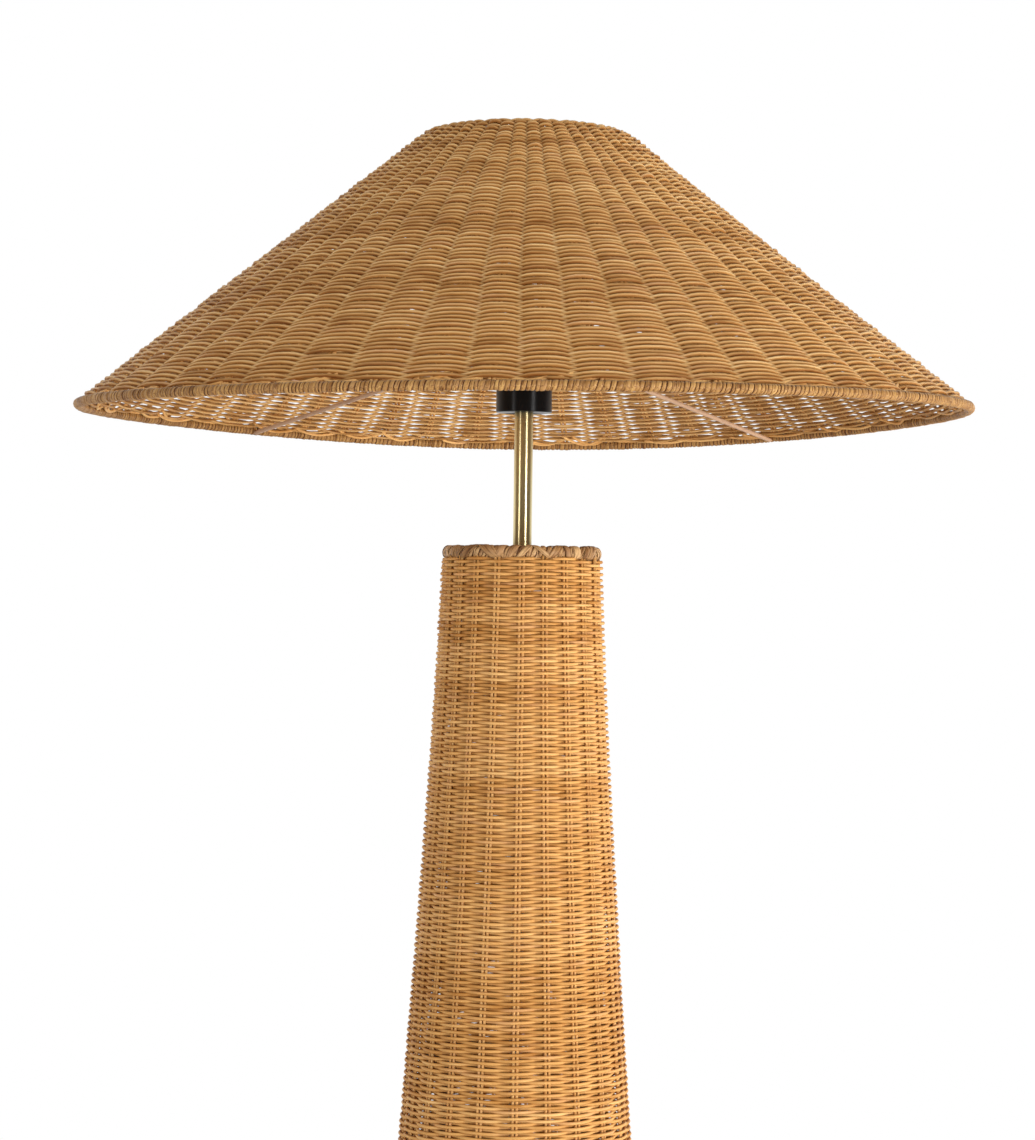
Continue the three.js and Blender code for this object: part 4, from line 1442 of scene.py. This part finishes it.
@dataclass
class Lampholder:
    """Cup, insulator, contacts and the ribbed ring nut."""

    ribs: int = 24
    rib_height: float = 1 * MM
    nut_bore: float = 20 * MM

    def build(self) -> None:
        """Makes the outer pieces and dresses the contacts."""
        self.cup()
        self.insulator()
        self.ring_nut()
        dress(ZINC, "screw_shell")
        dress(BRASS, "centre_contact")

    def cup(self) -> None:
        """Thin cup with a rounded bottom corner and a softened lip."""
        low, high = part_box("lampholder_cup")
        wall, corner, lip = 1.2 * MM, 0.8 * MM, 0.3 * MM
        inner, floor = high.x - wall, low.z + wall
        outline = rounded([
            (PIPE_BORE, low.z, 0), (high.x, low.z, corner), (high.x, high.z, lip),
            (inner, high.z, lip), (inner, floor, lip), (PIPE_BORE, floor, 0),
        ], 6)
        lathe(outline, 128).stand_in("lampholder_cup", BLACK, Body.STAND)

    def insulator(self) -> None:
        """Body, flange and threaded neck; the profile is closed on a thin line at the axis."""
        low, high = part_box("lampholder_body")
        cup_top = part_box("lampholder_cup")[1].z
        body, neck, socket, edge = 19.9 * MM, 19.5 * MM, 14.5 * MM, 0.4 * MM
        flange, plain, run_out, socket_depth = 2.5 * MM, 11 * MM, 2 * MM, 28 * MM
        pitch, depth = 2.5 * MM, 0.35 * MM
        flange_top = cup_top + flange
        socket_floor = high.z - socket_depth
        thread = [
            ring
            for height in np.arange(flange_top + plain, high.z - run_out, pitch)
            for ring in ((neck, height, 0.0), (neck - depth, height + pitch / 2, 0.0))
        ]
        outline = rounded([
            (AXIS, low.z, 0), (body, low.z, edge), (body, cup_top, 0), (high.x, cup_top, edge),
            (high.x, flange_top, edge), (neck, flange_top, 0), *thread, (neck, high.z, edge),
            (socket, high.z, edge), (socket, socket_floor, 0), (AXIS, socket_floor, 0),
        ])
        lathe(outline).stand_in("lampholder_body", BLACK, Body.STAND)

    def ring_nut(self) -> None:
        """Ribs are a cosine round the outer wall with its crests and valleys cut flat."""
        low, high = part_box("shade_ring_nut")
        inner, edge = self.nut_bore, 0.9 * MM
        outer = high.x - self.rib_height
        radius, height = np.array(rounded([
            (inner, low.z, edge / 2), (outer, low.z, edge), (outer, high.z, edge), (inner, high.z, edge / 2),
        ])).T
        angle = round_turn(self.ribs * 16)
        rib = self.rib_height * np.clip(np.cos(angle * self.ribs) * 2, -0.5, 0.5) + self.rib_height / 2
        on_wall = np.isclose(radius, outer, atol=edge / 3)
        made = ring_grid(around(radius + rib * on_wall, angle, height))
        made.stand_in("shade_ring_nut", BLACK, Body.RING_NUT)


@dataclass
class Bulb:
    """Opal bulb with a screw cap."""

    glass_wall: float = 0.8 * MM
    neck: float = 12.2 * MM
    thread_pitch: float = 3.6 * MM
    thread_depth: float = 0.45 * MM
    shoulder: float = 40.0

    def build(self) -> None:
        """Makes the cap and the glass."""
        self.cap()
        self.glass()

    def cap(self) -> None:
        """Cap wall: radius = mean + depth * cos(angle - height over pitch), fading to both ends."""
        low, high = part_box("bulb_cap")
        facets, rows = 48, 44
        tip, tip_height, cone_top, cone_share = 4.5 * MM, 6 * MM, 4 * MM, 0.9
        run_in, run_out, sheet, floor_sheet = 3 * MM, 4 * MM, 0.4 * MM, 1 * MM
        outer = high.x - self.thread_depth
        foot = low.z + tip_height
        height = np.linspace(foot, high.z, rows)[None]
        angle = round_turn(facets)
        ends = np.clip((height - foot) / run_in, 0, 1) * np.clip((high.z - height) / run_out, 0, 1)
        wave = np.cos(angle - (height - foot) / self.thread_pitch * TURN)
        reach = outer + self.thread_depth * wave * ends
        inner = outer - sheet - self.thread_depth
        below = np.array([(AXIS, low.z), (tip, low.z), (outer * cone_share, low.z + cone_top)])
        above = np.array([(inner, high.z), (inner, foot + floor_sheet), (AXIS, foot + floor_sheet)])
        ring = np.concatenate([
            np.broadcast_to(below[:, 0], (facets, 3)), reach, np.broadcast_to(above[:, 0], (facets, 3)),
        ], axis=1)
        rise = np.concatenate([below[:, 1], height[0], above[:, 1]])
        ring_grid(around(ring, angle, rise)).stand_in("bulb_cap", ZINC, Body.BULB)

    def glass(self) -> None:
        """A globe over a neck, whose curve is a cubic that leaves the cap upright and meets the globe."""
        low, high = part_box("bulb_glass")
        cap_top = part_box("bulb_cap")[1].z
        globe = high.x
        middle = high.z - globe
        curve_steps, arc_steps = 14, 28

        def wall(inset: float) -> Array:
            """One face of the glass, from the neck's foot to the crown."""
            radius = globe - inset
            start = -math.radians(self.shoulder)
            join = np.array([radius * math.cos(start), middle + radius * math.sin(start)])
            pull = (join[1] - cap_top) / 2
            neck = self.neck - inset
            knots = np.array([
                [neck, cap_top], [neck, cap_top + pull],
                [join[0] + pull * math.sin(start), join[1] - pull * math.cos(start)], join,
            ])
            t = np.linspace(0, 1, curve_steps)[:, None]
            curve = (
                (1 - t) ** 3 * knots[0] + 3 * (1 - t) ** 2 * t * knots[1]
                + 3 * (1 - t) * t**2 * knots[2] + t**3 * knots[3]
            )
            turn = np.linspace(start, TURN / 4, arc_steps)[1:-1, None]
            arc = np.concatenate([radius * np.cos(turn), middle + radius * np.sin(turn)], axis=1)
            return np.concatenate([[[neck, low.z]], curve, arc, [[AXIS, middle + radius]]])

        outline = np.concatenate([wall(0.0), wall(self.glass_wall)[::-1]])
        lathe(outline, 80).stand_in("bulb_glass", OPAL, Body.BULB)


def dress(finish: Finish, *nodes: str) -> None:
    """Gives CAD nodes a finish in place of their own."""
    worn = finish.material()
    for node in nodes:
        for place in frame["nodes"][node].material_slots:
            place.material = worn
        log.info("%s wears %s", node, worn.name)


# Studio


@dataclass(frozen=True)
class Softbox:
    """A lamp that faces the shade: its bearing from the camera's side, height, distance, size and power.

    The spread is the full angle, in degrees, of the cone that its light fills.
    """

    name: str
    bearing: float
    height: float
    distance: float
    width: float
    tall: float
    power: float
    aim_height: float = 1.1
    spread: float = 180.0
    in_gloss: bool = True

    def place(self) -> None:
        """Hangs the lamp, facing the lamp's axis."""
        lamp = bpy.data.lights.new(self.name, "AREA")
        lamp.shape = "RECTANGLE"
        lamp.size = self.width
        lamp.size_y = self.tall
        lamp.energy = self.power
        lamp.spread = math.radians(self.spread)
        hung = bpy.data.objects.new(self.name, lamp)
        bearing = math.radians(self.bearing)
        hung.location = (self.distance * math.sin(bearing), -self.distance * math.cos(bearing), self.height)
        aim = Vector((0, 0, self.aim_height)) - hung.location
        hung.rotation_euler = aim.to_track_quat("-Z", "Y").to_euler()
        hung.visible_camera = False
        hung.visible_glossy = self.in_gloss
        bpy.context.scene.collection.objects.link(hung)


@dataclass
class Studio:
    """Floor, surroundings, lamps and camera."""

    floor_radius: float = 3.1
    floor_fade: tuple[float, float] = (0.35, 0.97)
    floor_colour: Colour = (0.8, 0.79, 0.78)
    ambient_level: float = 0.84
    ambient_above: float = 0.46
    dark_room: float = 0.16
    lamps: tuple[Softbox, ...] = (
        Softbox("key", bearing=37, height=1.05, distance=2.7, width=0.55, tall=1.7, power=37),
        Softbox(
            "fill", bearing=-46, height=0.75, distance=2.8, width=0.35, tall=1.7, power=15, aim_height=0.8,
        ),
        Softbox(
            "bounce", bearing=74, height=0.5, distance=1.9, width=1.6, tall=0.8, power=12, aim_height=1.3,
            spread=110, in_gloss=False,
        ),
    )
    bearing: float = -1.9
    focal_pixels: float = 2850.0
    camera_distance: float = 2.201
    camera_height: float = 1.139
    camera_side: float = -0.0034
    horizon_row: float = 600.8
    roll: float = 0.75

    def build(self) -> None:
        """Sets up everything around the object."""
        self.floor()
        self.world()
        for lamp in self.lamps:
            lamp.place()
        self.camera()
        bpy.context.scene.view_settings.view_transform = "Standard"

    def floor(self) -> None:
        """A pale round floor whose colour fades into the white surroundings."""
        facets, rings, hole = 96, 8, 0.02
        points = around(np.linspace(hole, self.floor_radius, rings), round_turn(facets), 0.0)
        index = np.arange(facets * rings).reshape(facets, rings)
        after = np.roll(index, -1, axis=0)
        quads = np.stack([index[:, :-1], index[:, 1:], after[:, 1:], after[:, :-1]], axis=-1)
        faces = [*quads.reshape(-1, 4).tolist(), index[:, 0].tolist()]
        mesh = bpy.data.meshes.new("floor")
        mesh.from_pydata(points.reshape(-1, 3).tolist(), [], faces)
        made = bpy.data.objects.new("floor", mesh)
        bpy.context.scene.collection.objects.link(made)
        painted = bpy.data.materials.new("floor")
        painted.use_nodes = True
        graph = Graph(painted.node_tree)
        reach = graph.node("ShaderNodeVectorMath", {"operation": "LENGTH"}, {0: graph.objects()}, "Value")
        fade = graph.spread(reach, *(share * self.floor_radius for share in self.floor_fade))
        paint = graph.node("ShaderNodeBsdfDiffuse", {}, {"Color": self.floor_colour})
        white = graph.node("ShaderNodeEmission", {}, {"Color": (1.0, 1.0, 1.0), "Strength": 1.0})
        seen = graph.node("ShaderNodeLightPath", output="Is Camera Ray")
        mixed = graph.node("ShaderNodeMixShader", {}, {0: fade * seen, 1: paint, 2: white})
        graph.node("ShaderNodeOutputMaterial", {}, {"Surface": mixed})
        mesh.materials.append(painted)

    def world(self) -> None:
        """White to the eye; dimmer light from above; in gloss, white behind and a dark room in front."""
        world = bpy.data.worlds.new("studio")
        world.use_nodes = True
        bpy.context.scene.world = world
        graph = Graph(world.node_tree)
        way = graph.node("ShaderNodeTexCoord", output="Generated")
        ahead = graph.node("ShaderNodeSeparateXYZ", {}, {0: way}, "Y")
        upward = graph.node("ShaderNodeSeparateXYZ", {}, {0: way}, "Z")
        behind = graph.spread(ahead, -0.05, 0.55, self.dark_room, 1.0)
        ambient = graph.spread(upward, 0.05, 0.85, self.ambient_level, self.ambient_above)
        path = graph.node("ShaderNodeLightPath", output="Is Camera Ray")
        gloss = graph.node("ShaderNodeLightPath", output="Is Glossy Ray")
        through = graph.node("ShaderNodeLightPath", output="Is Transmission Ray")
        shiny = gloss.maths("MAXIMUM", through)
        level = shiny * behind + (1 - shiny) * ambient
        strength = path + (1 - path) * level
        light = graph.node("ShaderNodeBackground", {}, {"Color": (1.0, 1.0, 1.0), "Strength": strength})
        graph.node("ShaderNodeOutputWorld", {}, {"Surface": light})

    def camera(self) -> None:
        """A view from the front whose horizon lies on the photograph's row."""
        sensor = 36.0
        lens = bpy.data.cameras.new("camera")
        lens.sensor_width = sensor
        lens.lens = self.focal_pixels * sensor / max(PHOTO_WIDTH, PHOTO_HEIGHT)
        made = bpy.data.objects.new("camera", lens)
        tilt = math.atan((self.horizon_row - PHOTO_HEIGHT / 2) / self.focal_pixels)
        roll = Matrix.Rotation(math.radians(self.roll), 3, "Z")
        turn = Euler((math.pi / 2 + tilt, 0, 0)).to_matrix() @ roll
        place = Matrix.Translation((self.camera_side, -self.camera_distance, self.camera_height))
        round_lamp = Matrix.Rotation(math.radians(self.bearing), 4, "Z")
        made.matrix_world = round_lamp @ place @ turn.to_4x4()
        bpy.context.scene.collection.objects.link(made)
        bpy.context.scene.camera = made


def corners(bounds: tuple[Vector, Vector]) -> list[list[float]]:
    """A box as plain lists of numbers."""
    return [[float(part) for part in corner] for corner in bounds]


def main() -> None:
    """Builds the studio and the lamp."""
    logging.basicConfig(level=logging.INFO, format="%(name)s: %(message)s")
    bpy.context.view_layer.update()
    Studio().build()
    for assembly in (Column(), Stem(), Lampholder(), Shade(), Bulb()):
        log.info("building the %s", type(assembly).__name__.lower())
        assembly.build()


if __name__ == "__main__":
    main()
